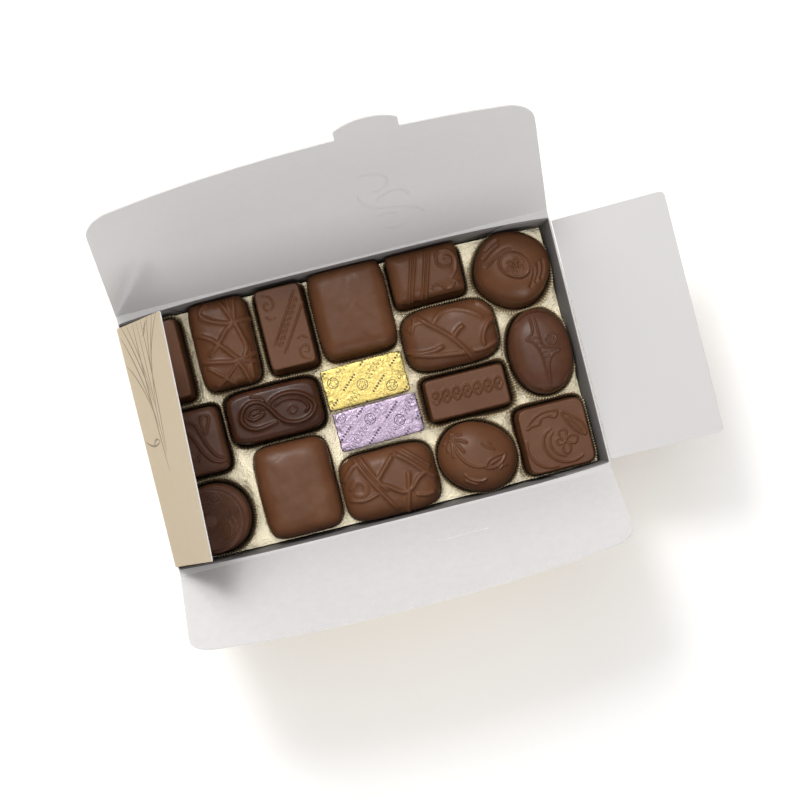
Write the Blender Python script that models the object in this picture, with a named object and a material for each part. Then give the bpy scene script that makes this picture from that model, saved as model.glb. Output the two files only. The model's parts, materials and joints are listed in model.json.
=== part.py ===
"""An open card box (a ballotin) holding one layer of eighteen chocolate pralines on a cream sheet.

The origin is the centre of the base's underside. +X runs along the box's long side, +Y towards the
back wall, whose flap carries the closing tongue, and +Z is up. Lengths below are in millimetres and
angles in degrees: to_metres() and math.radians() change them where a mesh or an object is made.
"""
import math
from collections import namedtuple

import bmesh
import bpy
from mathutils import Vector

MM = 0.001

# Card tray. The base is a straight rectangle and the long walls bow out towards the rim.
RIM_HEIGHT = 52.0
RIM_HALF_LENGTH = 90.5
BASE_HALF_LENGTH = 85.0
BASE_HALF_WIDTH = 50.0
CORNER_BACK = 52.0
CORNER_FRONT = 51.7
BOW_BACK = 2.4
BOW_FRONT = 1.8
BOW_POWER = 4
CARD = 0.5
GLUE_TAB_AT_RIM = 0.775
GLUE_TAB_AT_BASE = 0.70
GLUE_TAB_STEP = 0.006
WALL_STATIONS = (-0.62, -0.45, -0.25, 0.0, 0.25, 0.45, 0.62)
CORNER_STATIONS = (0.86, 0.94, 1.0)

# Cream sheet, with the hidden lower part of the box as one block under it.
SHEET_TOP = 30.0
REST_GAP = 0.3

# Flaps, each turned about the crease at the head of its wall.
CREASE_OUT = 0.6
CREASE_UP = 0.55
FLAP_ROOT = 0.6
LONG_FLAP_HALF = 90.5
LONG_FLAP_TAPER = 0.022
BACK_FLAP_LENGTH = 85.5
BACK_FLAP_SAG = 8.5
BACK_FLAP_SKEW = 0.04
BACK_CORNER_RADIUS = 16.0
BACK_FLAP_RAISED = 64.0
FRONT_FLAP_LENGTH = 61.8
FRONT_FLAP_SAG = 7.8
FRONT_FLAP_SKEW = -0.012
FRONT_CORNER_RADIUS = 12.0
FRONT_FLAP_RAISED = 60.0
END_FLAP_LENGTH = 47.5
END_FLAP_HALF = 50.0
END_CORNER_RADIUS = 2.5
RIGHT_FLAP_RAISED = 18.0
LEFT_FLAP_RAISED = 114.5
SAG_HALF = 80.0
TONGUE_CENTRE = 24.4
TONGUE_HALF = 12.3
TONGUE_SIDE = 6.0
TONGUE_CROWN = 4.0
SLIT_HALF = 13.0
SLIT_FROM_CREASE = 21.0
SLIT_WIDTH = 0.8

# Paper cups.
PAPER = 0.3
CUP_GAP = 0.32
CUP_HEIGHT = 8.0
CUP_TAPER = 0.7

OUTLINE_STEPS = 20
ROUND_STEPS = 24
RIDGE_SINK = 0.5

# Each profile is a list of (inset, share of the height), from the base to the top.
PROFILES = {
    "slab": ((0.0, 0.0), (0.25, 0.55), (0.7, 0.88), (1.5, 1.0)),
    "barrel": ((0.0, 0.0), (0.3, 0.6), (0.9, 0.84), (2.6, 0.95), (5.5, 1.0)),
    "pillow": ((0.9, 0.0), (0.0, 0.4), (0.5, 0.66), (2.0, 0.86), (5.0, 0.96), (8.5, 1.0)),
    "dome": ((0.8, 0.0), (0.0, 0.34), (1.2, 0.58), (4.0, 0.82), (8.0, 0.95), (11.5, 1.0)),
    "foil": ((0.5, 0.0), (0.0, 0.12), (0.0, 0.88), (0.6, 1.0)),
}

Praline = namedtuple(
    "Praline", "name u v length width height squareness turn profile material cup_flare"
)

PRALINES = (
    Praline("slab_ribbed_cup", -76.9, 31.8, 19.0, 34.0, 14.0, 8.0, 0, "slab", "milk", 0.9),
    Praline("square_dark_leaf", -72.6, -2.8, 26.0, 27.8, 15.0, 6.0, 0, "barrel", "dark", 0.7),
    Praline("round_dark_rings", -71.2, -34.7, 29.0, 29.0, 16.0, 2.0, 0, "barrel", "dark", 0.7),
    Praline("block_net_upright", -50.1, 33.3, 23.6, 35.6, 15.7, 6.0, 0, "pillow", "milk", 0.3),
    Praline("block_diagonal_band", -24.5, 33.5, 20.4, 34.8, 14.0, 9.0, 0, "slab", "milk", 0.4),
    Praline("square_plain_large", 3.3, 33.6, 30.8, 36.4, 16.5, 6.5, 0, "pillow", "milk", 0.0),
    Praline("block_stripes_scroll", 36.1, 40.4, 29.6, 20.8, 15.8, 9.0, 0, "barrel", "milk", 0.3),
    Praline("egg_medallion", 71.2, 34.3, 30.8, 29.4, 16.5, 2.3, -35, "dome", "milk", 0.0),
    Praline("block_dark_loop", -37.4, 2.0, 39.4, 22.2, 15.5, 5.5, 0, "barrel", "dark", 0.0),
    Praline("block_foil_yellow", 1.6, 5.2, 34.6, 17.2, 13.0, 30.0, 1.2, "foil", "foil_yellow", 0.0),
    Praline("block_foil_lilac", 2.9, -12.6, 35.4, 16.6, 13.0, 30.0, 1.5, "foil", "foil_lilac", 0.0),
    Praline("block_net_wide", 40.2, 15.1, 39.0, 25.8, 15.7, 3.8, 0, "pillow", "milk", 0.0),
    Praline("block_beaded_line", 41.2, -9.5, 35.0, 18.6, 12.0, 9.0, 0, "slab", "milk", 0.8),
    Praline("oval_dark_stem", 74.2, -0.5, 25.2, 35.0, 15.0, 2.1, 0, "dome", "dark", 0.3),
    Praline("block_plain_tall", -35.6, -30.4, 31.0, 38.0, 16.5, 5.5, 0, "pillow", "milk", 0.0),
    Praline("block_net_front", 1.7, -37.0, 38.8, 27.6, 15.7, 4.0, 0, "pillow", "milk", 0.0),
    Praline("egg_palm", 39.0, -36.1, 32.8, 28.4, 16.4, 2.1, -30, "dome", "milk", 0.0),
    Praline("square_flower", 71.4, -35.4, 28.2, 28.0, 12.0, 7.0, 0, "slab", "milk", 0.2),
)

# Raised ribbons on the tops, each as (width, height, points), in shares of the praline's half sizes.
RIBBONS = {
    "block_net_upright": (
        (1.5, 0.7, ((-0.7, 0.55), (0.1, 0.38), (0.85, 0.36))),
        (1.5, 0.7, ((-0.85, 0.1), (-0.2, -0.15), (0.3, -0.45))),
        (1.5, 0.7, ((0.25, 0.85), (0.2, 0.35), (0.6, -0.35), (0.62, -0.8))),
        (1.5, 0.7, ((-0.85, -0.45), (0.0, -0.5), (0.75, -0.45))),
        (1.5, 0.7, ((-0.35, -0.85), (0.3, -0.42))),
    ),
    "block_net_wide": (
        (2.2, 0.7, ((-0.7, 0.6), (-0.1, 0.05), (0.5, -0.7))),
        (2.2, 0.7, ((-0.85, -0.4), (-0.2, -0.5), (0.35, -0.45))),
        (2.2, 0.7, ((-0.3, 0.2), (0.15, 0.7), (0.8, 0.45))),
        (2.2, 0.7, ((0.35, -0.45), (0.85, -0.15))),
    ),
    "block_net_front": (
        (2.2, 0.7, ((-0.8, 0.6), (-0.35, 0.1), (0.0, -0.4))),
        (2.2, 0.7, ((-0.3, 0.05), (0.15, 0.7), (0.85, 0.1))),
        (2.2, 0.7, ((-0.3, 0.05), (0.5, -0.4))),
        (2.2, 0.7, ((0.4, 0.35), (0.35, -0.8))),
    ),
    "block_stripes_scroll": (
        (1.2, 0.6, ((-0.25, 0.8), (-0.48, -0.8))),
        (1.2, 0.6, ((0.08, 0.8), (-0.12, -0.8))),
    ),
}
LOOP_HALF_LENGTH = 0.72
LOOP_HALF_WIDTH = 0.5
LOOP_STATIONS = 18
LOOP_RIDGE = (1.8, 0.7)

COLOURS = {
    "card_inside": ((0.80, 0.78, 0.76, 1.0), 0.55, 0.0),
    "card_printed": ((0.62, 0.52, 0.37, 1.0), 0.5, 0.0),
    "sheet_cream": ((0.80, 0.70, 0.47, 1.0), 0.35, 0.0),
    "milk": ((0.115, 0.052, 0.031, 1.0), 0.38, 0.0),
    "dark": ((0.055, 0.026, 0.020, 1.0), 0.33, 0.0),
    "foil_yellow": ((0.80, 0.66, 0.20, 1.0), 0.35, 0.6),
    "foil_lilac": ((0.52, 0.40, 0.58, 1.0), 0.35, 0.6),
    "cup_paper": ((0.070, 0.048, 0.026, 1.0), 0.45, 0.0),
}


def to_metres(points):
    """Return points given in millimetres as vectors in metres."""
    return [Vector(point) * MM for point in points]


def clear_scene():
    """Remove every object that the scene starts with."""
    for item in list(bpy.data.objects):
        bpy.data.objects.remove(item, do_unlink=True)


def material(name):
    """Return the named material, made on first use."""
    found = bpy.data.materials.get(name)
    if found:
        return found
    colour, roughness, metallic = COLOURS[name]
    made = bpy.data.materials.new(name)
    made.use_nodes = True
    shader = made.node_tree.nodes["Principled BSDF"]
    shader.inputs["Base Color"].default_value = colour
    shader.inputs["Roughness"].default_value = roughness
    shader.inputs["Metallic"].default_value = metallic
    return made


def add_object(name, mesh_maker, material_name, sharp_angle=None):
    """Turn a bmesh into a named object with outward faces."""
    bmesh.ops.recalc_face_normals(mesh_maker, faces=mesh_maker.faces)
    mesh = bpy.data.meshes.new(name)
    mesh_maker.to_mesh(mesh)
    mesh_maker.free()
    if sharp_angle:
        mesh.shade_smooth()
        mesh.set_sharp_from_angle(angle=math.radians(sharp_angle))
    made = bpy.data.objects.new(name, mesh)
    made.data.materials.append(material(material_name))
    bpy.context.scene.collection.objects.link(made)
    return made


def loft(rings):
    """Join rings of equal count into one closed body, with a flat face over each end."""
    maker = bmesh.new()
    rows = [[maker.verts.new(point) for point in to_metres(ring)] for ring in rings]
    count = len(rows[0])
    for lower, upper in zip(rows, rows[1:]):
        for index in range(count):
            after = (index + 1) % count
            maker.faces.new((lower[index], lower[after], upper[after], upper[index]))
    maker.faces.new(rows[0])
    maker.faces.new(rows[-1])
    return maker


# ---------------------------------------------------------------- tray and sheet

def wall_v(side, u, height):
    """Distance of a long wall's outer face from the middle: side is 1 at the back, -1 in front."""
    corner, bow = (CORNER_BACK, BOW_BACK) if side > 0 else (CORNER_FRONT, BOW_FRONT)
    rim = corner + bow * (1.0 - abs(u / RIM_HALF_LENGTH) ** BOW_POWER)
    return BASE_HALF_WIDTH + (rim - BASE_HALF_WIDTH) * height / RIM_HEIGHT


def wall_u(height):
    """Distance of an end wall's outer face from the middle."""
    return BASE_HALF_LENGTH + (RIM_HALF_LENGTH - BASE_HALF_LENGTH) * height / RIM_HEIGHT


def wall_ring(height, inward=0.0, tab=0.0):
    """Outline of the tray's walls at one height, moved inward, and by tab more at the glue tabs."""
    share = height / RIM_HEIGHT
    tab_end = GLUE_TAB_AT_BASE + (GLUE_TAB_AT_RIM - GLUE_TAB_AT_BASE) * share
    stations = [-station for station in reversed(CORNER_STATIONS)]
    stations += [-tab_end - GLUE_TAB_STEP, -tab_end, *WALL_STATIONS]
    stations += [tab_end, tab_end + GLUE_TAB_STEP, *CORNER_STATIONS]
    ring = []
    for side in (-1, 1):
        for station in stations if side < 0 else reversed(stations):
            depth = inward + (tab if abs(station) > tab_end + GLUE_TAB_STEP / 2 else 0.0)
            v = side * (wall_v(side, station * RIM_HALF_LENGTH, height) - depth)
            ring.append((station * (wall_u(height) - inward), v, height))
    return ring


def add_tray():
    """Base, four walls, and the end walls' glue tabs lying inside the long walls."""
    rings = (
        wall_ring(0.0),
        wall_ring(RIM_HEIGHT),
        wall_ring(RIM_HEIGHT, CARD, CARD),
        wall_ring(SHEET_TOP, CARD, CARD),
        wall_ring(CARD, CARD, CARD),
    )
    add_object("tray", loft(rings), "card_inside")


def add_cream_sheet():
    """The cream sheet that the pralines lie on, solid down to the base."""
    inward = CARD + REST_GAP
    rings = (
        wall_ring(CARD + REST_GAP, inward, CARD),
        wall_ring(SHEET_TOP, inward, CARD),
    )
    add_object("cream_sheet", loft(rings), "sheet_cream")


# ---------------------------------------------------------------- flaps

def rounded_corner(corner, before, after, radius, steps=5):
    """Points that round one corner of an outline between its two neighbours."""
    corner, before, after = Vector(corner), Vector(before), Vector(after)
    start = corner + (before - corner).normalized() * radius
    end = corner + (after - corner).normalized() * radius
    points = []
    for step in range(steps + 1):
        share = step / steps
        near = start.lerp(corner, share)
        points.append(tuple(near.lerp(corner.lerp(end, share), share)))
    return points


def long_flap_outline(length, sag, skew, radius, tongue):
    """Outline of a long flap: root, tapering sides, rounded corners and an arched free edge."""
    def edge(s):
        return length + skew * s - sag * (s / SAG_HALF) ** 2

    def side(r):
        return LONG_FLAP_HALF - LONG_FLAP_TAPER * r

    half = side(edge(SAG_HALF))
    right = (half, edge(half))
    left = (-half, edge(-half))
    outline = [(-side(0), FLAP_ROOT), (side(0), FLAP_ROOT)]
    outline += rounded_corner(right, outline[1], (half - 20, edge(half - 20)), radius)
    if tongue:
        right_end = TONGUE_CENTRE + TONGUE_HALF
        left_end = TONGUE_CENTRE - TONGUE_HALF
        outline += [(55.0, edge(55.0)), (right_end, edge(right_end))]
        for step in range(7):
            s = TONGUE_HALF * (1 - step / 3)
            crown = TONGUE_CROWN * (1 - (s / TONGUE_HALF) ** 2)
            outline.append((TONGUE_CENTRE + s, edge(TONGUE_CENTRE) + TONGUE_SIDE + crown))
        outline += [(left_end, edge(left_end)), (-10.0, edge(-10.0))]
    else:
        outline += [(s, edge(s)) for s in (50.0, 25.0, 0.0)]
    outline += [(s, edge(s)) for s in (-30.0, -52.0)]
    outline += rounded_corner(left, (20 - half, edge(20 - half)), outline[0], radius)
    return outline


def end_flap_outline():
    """Outline of an end flap, a plain strip with small round corners."""
    half, length = END_FLAP_HALF, END_FLAP_LENGTH
    outline = [(-half, FLAP_ROOT), (half, FLAP_ROOT)]
    outline += rounded_corner((half, length), outline[1], (-half, length), END_CORNER_RADIUS, 3)
    outline += rounded_corner((-half, length), (half, length), outline[0], END_CORNER_RADIUS, 3)
    return outline


def add_flap(name, outline, crease, heading, raised):
    """A card plate whose origin lies on its crease, turned to its heading and raised."""
    lower = [(s, r, -CARD / 2) for s, r in outline]
    upper = [(s, r, CARD / 2) for s, r in outline]
    flap = add_object(name, loft((lower, upper)), "card_inside")
    flap.location = Vector(crease) * MM
    flap.rotation_euler = (math.radians(raised), 0.0, math.radians(heading))
    return flap


def cut_slit(flap):
    """Cut the slit that takes the tongue; the front flap's own X runs to the left."""
    outline = ((-1, -1), (1, -1), (1, 1), (-1, 1))
    rings = []
    for height in (-3 * CARD, 3 * CARD):
        ring = []
        for across, out in outline:
            s = -TONGUE_CENTRE + across * SLIT_HALF
            ring.append((s, SLIT_FROM_CREASE + out * SLIT_WIDTH / 2, height))
        rings.append(ring)
    cutter = add_object("slit_cutter", loft(rings), "card_inside")
    cutter.parent = flap
    cutter.hide_render = True
    cutter.display_type = "WIRE"
    cut = flap.modifiers.new("slit", "BOOLEAN")
    cut.operation = "DIFFERENCE"
    cut.solver = "EXACT"
    cut.object = cutter


def add_flaps():
    """The four lid flaps in their open places."""
    crease_height = RIM_HEIGHT + CREASE_UP
    back = CORNER_BACK + BOW_BACK + CREASE_OUT
    front = CORNER_FRONT + BOW_FRONT + CREASE_OUT
    end = RIM_HALF_LENGTH + CREASE_OUT
    outline = long_flap_outline(
        BACK_FLAP_LENGTH, BACK_FLAP_SAG, BACK_FLAP_SKEW, BACK_CORNER_RADIUS, True)
    add_flap("flap_back", outline, (0, back, crease_height), 0, BACK_FLAP_RAISED)
    outline = long_flap_outline(
        FRONT_FLAP_LENGTH, FRONT_FLAP_SAG, -FRONT_FLAP_SKEW, FRONT_CORNER_RADIUS, False)
    flap = add_flap("flap_front", outline, (0, -front, crease_height), 180, FRONT_FLAP_RAISED)
    cut_slit(flap)
    outline = end_flap_outline()
    add_flap("flap_right", outline, (end, 0, crease_height), -90, RIGHT_FLAP_RAISED)
    add_flap("flap_left", outline, (-end, 0, crease_height), 90, LEFT_FLAP_RAISED)


# ---------------------------------------------------------------- pralines and cups

def praline_ring(praline, inset, height):
    """One level of a praline: a superellipse about its own centre, turned in plan."""
    steps = ROUND_STEPS if praline.squareness < 3 else OUTLINE_STEPS
    turn = math.radians(praline.turn)
    power = 2.0 / praline.squareness
    ring = []
    for step in range(steps):
        angle = 2 * math.pi * (step + 0.5) / steps
        across, along = math.cos(angle), math.sin(angle)
        x = (praline.length / 2 - inset) * math.copysign(abs(across) ** power, across)
        y = (praline.width / 2 - inset) * math.copysign(abs(along) ** power, along)
        u = praline.u + x * math.cos(turn) - y * math.sin(turn)
        v = praline.v + x * math.sin(turn) + y * math.cos(turn)
        ring.append((u, v, height))
    return ring


def base_height(praline):
    """Height of a praline's underside: foil blocks lie on the sheet, the others in their cups."""
    if praline.profile == "foil":
        return SHEET_TOP + REST_GAP
    return SHEET_TOP + REST_GAP + PAPER + REST_GAP


def top_height(praline, x, y):
    """Height of a praline's top over a point given in shares of its half sizes."""
    reach = (abs(x) ** praline.squareness + abs(y) ** praline.squareness) ** (1 / praline.squareness)
    half = min(praline.length, praline.width) / 2
    inset = half * (1.0 - reach)
    profile = [pair for pair in PROFILES[praline.profile] if pair[1] >= 0.5]
    level = profile[-1][1]
    for (inner, low), (outer, high) in zip(profile, profile[1:]):
        if inset < outer:
            level = low + (high - low) * max(0.0, inset - inner) / (outer - inner)
            break
    return base_height(praline) + praline.height * level


def ribbon(praline, width, height, stations, closed=False):
    """A raised ribbon of triangular section that follows the praline's top."""
    places = []
    for x, y in stations:
        u = praline.u + x * praline.length / 2
        v = praline.v + y * praline.width / 2
        places.append(Vector((u, v, top_height(praline, x, y))))
    maker = bmesh.new()
    rows = []
    for index, place in enumerate(places):
        before = places[index - 1] if index or closed else place
        last = index == len(places) - 1
        after = place if last and not closed else places[(index + 1) % len(places)]
        side = Vector((before.y - after.y, after.x - before.x, 0.0)).normalized() * width / 2
        sink = Vector((0.0, 0.0, -RIDGE_SINK))
        crest = Vector((0.0, 0.0, height))
        corners = (place + side + sink, place + crest, place - side + sink)
        rows.append([maker.verts.new(corner * MM) for corner in corners])
    for index in range(len(rows) if closed else len(rows) - 1):
        row, following = rows[index], rows[(index + 1) % len(rows)]
        for corner in range(3):
            turn = (corner + 1) % 3
            maker.faces.new((row[corner], row[turn], following[turn], following[corner]))
    if not closed:
        maker.faces.new(rows[0])
        maker.faces.new(reversed(rows[-1]))
    return maker


def join_ribbon(body, index, maker):
    """Unite one ribbon with its praline."""
    tool = add_object(f"{body.name}_ribbon_{index}", maker, "milk")
    tool.hide_render = True
    tool.display_type = "WIRE"
    union = body.modifiers.new(f"ribbon_{index}", "BOOLEAN")
    union.operation = "UNION"
    union.solver = "EXACT"
    union.object = tool


def loop_stations():
    """Stations of the figure-of-eight ribbon, left open where it crosses itself."""
    stations = []
    for step in range(LOOP_STATIONS):
        angle = 2 * math.pi * (step + 0.5) / LOOP_STATIONS
        stations.append((LOOP_HALF_LENGTH * math.sin(angle), LOOP_HALF_WIDTH * math.sin(2 * angle)))
    half = LOOP_STATIONS // 2
    return stations[:half], stations[half:]


def add_praline(praline):
    """One praline, with the ribbons that its mould gives it."""
    base = base_height(praline)
    rings = [
        praline_ring(praline, inset, base + share * praline.height)
        for inset, share in PROFILES[praline.profile]
    ]
    body = add_object(praline.name, loft(rings), praline.material, sharp_angle=50)
    tools = [ribbon(praline, *shape) for shape in RIBBONS.get(praline.name, ())]
    if praline.name == "block_dark_loop":
        tools += [ribbon(praline, *LOOP_RIDGE, half, closed=True) for half in loop_stations()]
    for index, maker in enumerate(tools):
        join_ribbon(body, index, maker)


def add_cup(praline):
    """The thin paper cup that a praline stands in, flaring a little towards its rim."""
    under = SHEET_TOP + REST_GAP
    rim = under + CUP_HEIGHT
    gap = CUP_GAP + PAPER
    taper = CUP_TAPER * PROFILES[praline.profile][0][0]
    rings = (
        praline_ring(praline, taper - gap, under),
        praline_ring(praline, -gap - praline.cup_flare, rim),
        praline_ring(praline, -CUP_GAP - praline.cup_flare, rim),
        praline_ring(praline, taper - CUP_GAP, under + PAPER),
    )
    add_object(f"cup_{praline.name}", loft(rings), "cup_paper", sharp_angle=50)


def main():
    """Build the whole box."""
    clear_scene()
    add_tray()
    add_cream_sheet()
    add_flaps()
    for praline in PRALINES:
        add_praline(praline)
        if praline.profile != "foil":
            add_cup(praline)


main()
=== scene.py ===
"""Open ballotin box of chocolate pralines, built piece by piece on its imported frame."""

import json
import math
from collections import namedtuple

import bpy
import numpy as np
from mathutils import Matrix, Vector, noise


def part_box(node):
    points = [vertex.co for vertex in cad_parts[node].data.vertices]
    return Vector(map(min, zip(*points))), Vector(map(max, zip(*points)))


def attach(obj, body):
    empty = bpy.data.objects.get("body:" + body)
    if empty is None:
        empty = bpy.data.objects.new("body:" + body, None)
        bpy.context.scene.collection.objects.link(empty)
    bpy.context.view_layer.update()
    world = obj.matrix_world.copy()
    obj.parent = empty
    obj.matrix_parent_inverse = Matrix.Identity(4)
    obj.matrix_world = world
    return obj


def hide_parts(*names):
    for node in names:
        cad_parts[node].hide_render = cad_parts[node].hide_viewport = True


bl_info = {
    "name": "Praline Box",
    "version": (1, 0, 0),
    "blender": (4, 5, 0),
    "location": "View3D > Sidebar > Praline Box",
    "description": "Builds an open card box of chocolate pralines in pleated paper cups",
    "category": "Add Mesh",
}

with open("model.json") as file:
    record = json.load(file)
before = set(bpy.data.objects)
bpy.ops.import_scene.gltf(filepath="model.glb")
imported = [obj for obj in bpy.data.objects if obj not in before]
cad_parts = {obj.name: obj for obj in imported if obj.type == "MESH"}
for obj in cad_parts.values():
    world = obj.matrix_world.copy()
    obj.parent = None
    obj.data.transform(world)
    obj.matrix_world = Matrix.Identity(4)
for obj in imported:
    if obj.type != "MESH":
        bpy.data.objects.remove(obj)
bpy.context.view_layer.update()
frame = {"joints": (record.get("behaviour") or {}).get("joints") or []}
JOINTS = {joint["name"]: joint for joint in frame["joints"]}

# Lengths in the tables and in the mesh code below are in millimetres.
MM = 0.001
RIM_HEIGHT = 52.0
RIM_HALF_LENGTH = 90.5
BASE_HALF_LENGTH = 85.0
BASE_HALF_WIDTH = 50.0
CORNER_BACK = 52.0
CORNER_FRONT = 51.7
BOW_BACK = 2.4
BOW_FRONT = 1.8
BOW_POWER = 4
SHEET_TOP = 30.0
# A piece's least distance from the walls' outer faces and how softly it is held there; beside the
# glue tabs, which start at TAB_START from the middle, it keeps TAB_ROOM more.
PRALINE_CLEARANCE = (0.95, 0.25)
CUP_CLEARANCE = (0.9, 0.1)
TAB_START, TAB_BLEND, TAB_ROOM = 58.0, 8.0, 0.6
# The strips along the creases: how far they lap over the rim, and their thickness.
LEDGE_LAP = 0.3
LEDGE_THICKNESS = 0.3
ROUND_CENTRE = (-73.0, -35.2)
FLOOR_HALF = 8000.0
# The camera and the point that the lights look at, in metres.
CAMERA_PLACE = (0.0, -0.020, 1.052)
CAMERA_TARGET = (0.0135, -0.006, 0.052)
CAMERA_UP = (0.2425, 0.970, 0.0)
LIGHT_TARGET = (0.0, 0.0, 0.04)

Form = namedtuple("Form", "foot draft shoulder drop power crown round_top")
FORMS = {
    "slab": Form(0.0, 1.0, 0.7, 0.7, 2.0, 0.15, False),
    "tile": Form(0.0, 1.1, 0.55, 0.6, 2.0, 0.05, False),
    "block": Form(0.0, 0.5, 2.6, 2.6, 2.2, 0.5, False),
    "barrel": Form(0.0, 0.3, 6.5, 5.2, 2.1, 0.2, False),
    "disc": Form(0.3, 0.4, 2.4, 2.6, 2.1, 0.5, False),
    "pillow": Form(0.9, 0.0, 7.5, 8.2, 2.5, 0.8, False),
    "dome": Form(0.8, 0.0, 12.0, 9.5, 2.15, 0.0, True),
    "low_dome": Form(0.6, 0.0, 12.0, 8.5, 2.6, 0.0, True),
}

Sweet = namedtuple(
    "Sweet", "name form length width squareness turn cell lump tint cup_rise cup_flare")
SWEETS = (
    Sweet("slab_ribbed_cup", "slab", 19.0, 34.0, 12.0, 0, 0.5, 0.05, "milk", 8.6, 2.0),
    Sweet("square_dark_leaf", "block", 26.0, 27.8, 7.5, 0, 0.275, 0.05, "dark", 8.0, 1.3),
    Sweet("round_dark_rings", "disc", 29.0, 29.0, 2.05, 0, 0.215, 0.05, "dark", 8.2, 1.9),
    Sweet("block_net_upright", "pillow", 23.6, 35.6, 6.5, 0, 0.28, 0.3, "milk", 6.6, 1.2),
    Sweet("block_diagonal_band", "tile", 20.4, 34.8, 14.0, 0, 0.26, 0.04, "milk", 7.6, 1.3),
    Sweet("square_plain_large", "pillow", 30.8, 36.4, 6.4, 0, 0.5, 0.42, "milk", 5.5, 0.6),
    Sweet("block_stripes_scroll", "barrel", 29.6, 20.8, 14.0, 0, 0.24, 0.05, "milk", 7.6, 1.4),
    Sweet("egg_medallion", "dome", 30.8, 29.4, 2.3, -35, 0.26, 0.08, "milk", 7.6, 1.8),
    Sweet("block_dark_loop", "block", 39.4, 22.2, 5.5, 0, 0.27, 0.06, "darkest", 7.4, 1.3),
    Sweet("block_net_wide", "pillow", 39.0, 25.8, 3.8, 0, 0.28, 0.3, "milk", 6.0, 0.8),
    Sweet("block_beaded_line", "tile", 35.0, 18.6, 14.0, 0, 0.27, 0.04, "milk", 8.6, 2.1),
    Sweet("oval_dark_stem", "low_dome", 25.2, 35.0, 2.15, 0, 0.26, 0.05, "dark", 8.2, 1.5),
    Sweet("block_plain_tall", "pillow", 31.0, 38.0, 5.8, 0, 0.5, 0.42, "milk", 5.5, 0.6),
    Sweet("block_net_front", "pillow", 38.8, 27.6, 4.4, 0, 0.28, 0.3, "milk", 6.0, 0.8),
    Sweet("egg_palm", "dome", 32.8, 28.4, 2.1, -30, 0.26, 0.08, "milk", 7.2, 1.3),
    Sweet("square_flower", "tile", 28.2, 28.0, 9.0, 0, 0.25, 0.04, "milk", 7.8, 1.5),
)

# How far the upper part of a praline leans towards the wall beside it, and its share of growth.
LEANS = {
    "slab_ribbed_cup": (0.0, 1.2, 0.01),
    "block_net_upright": (-0.7, 1.4, 0.05),
    "block_diagonal_band": (-0.3, 1.3, 0.02),
    "square_plain_large": (0.2, 1.9, 0.035),
    "block_stripes_scroll": (0.1, 2.0, 0.02),
    "egg_medallion": (0.7, 2.0, 0.0),
    "oval_dark_stem": (0.9, 0.2, 0.02),
    "square_flower": (1.0, -0.4, 0.045),
    "block_net_front": (-0.3, -0.4, 0.02),
    "block_plain_tall": (-0.2, -0.2, 0.02),
}
# Each foil block's node, length, width and turn.
YELLOW_BLOCK = ("block_foil_yellow", 34.6, 17.2, 1.2)
LILAC_BLOCK = ("block_foil_lilac", 35.4, 16.6, 1.5)

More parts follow.
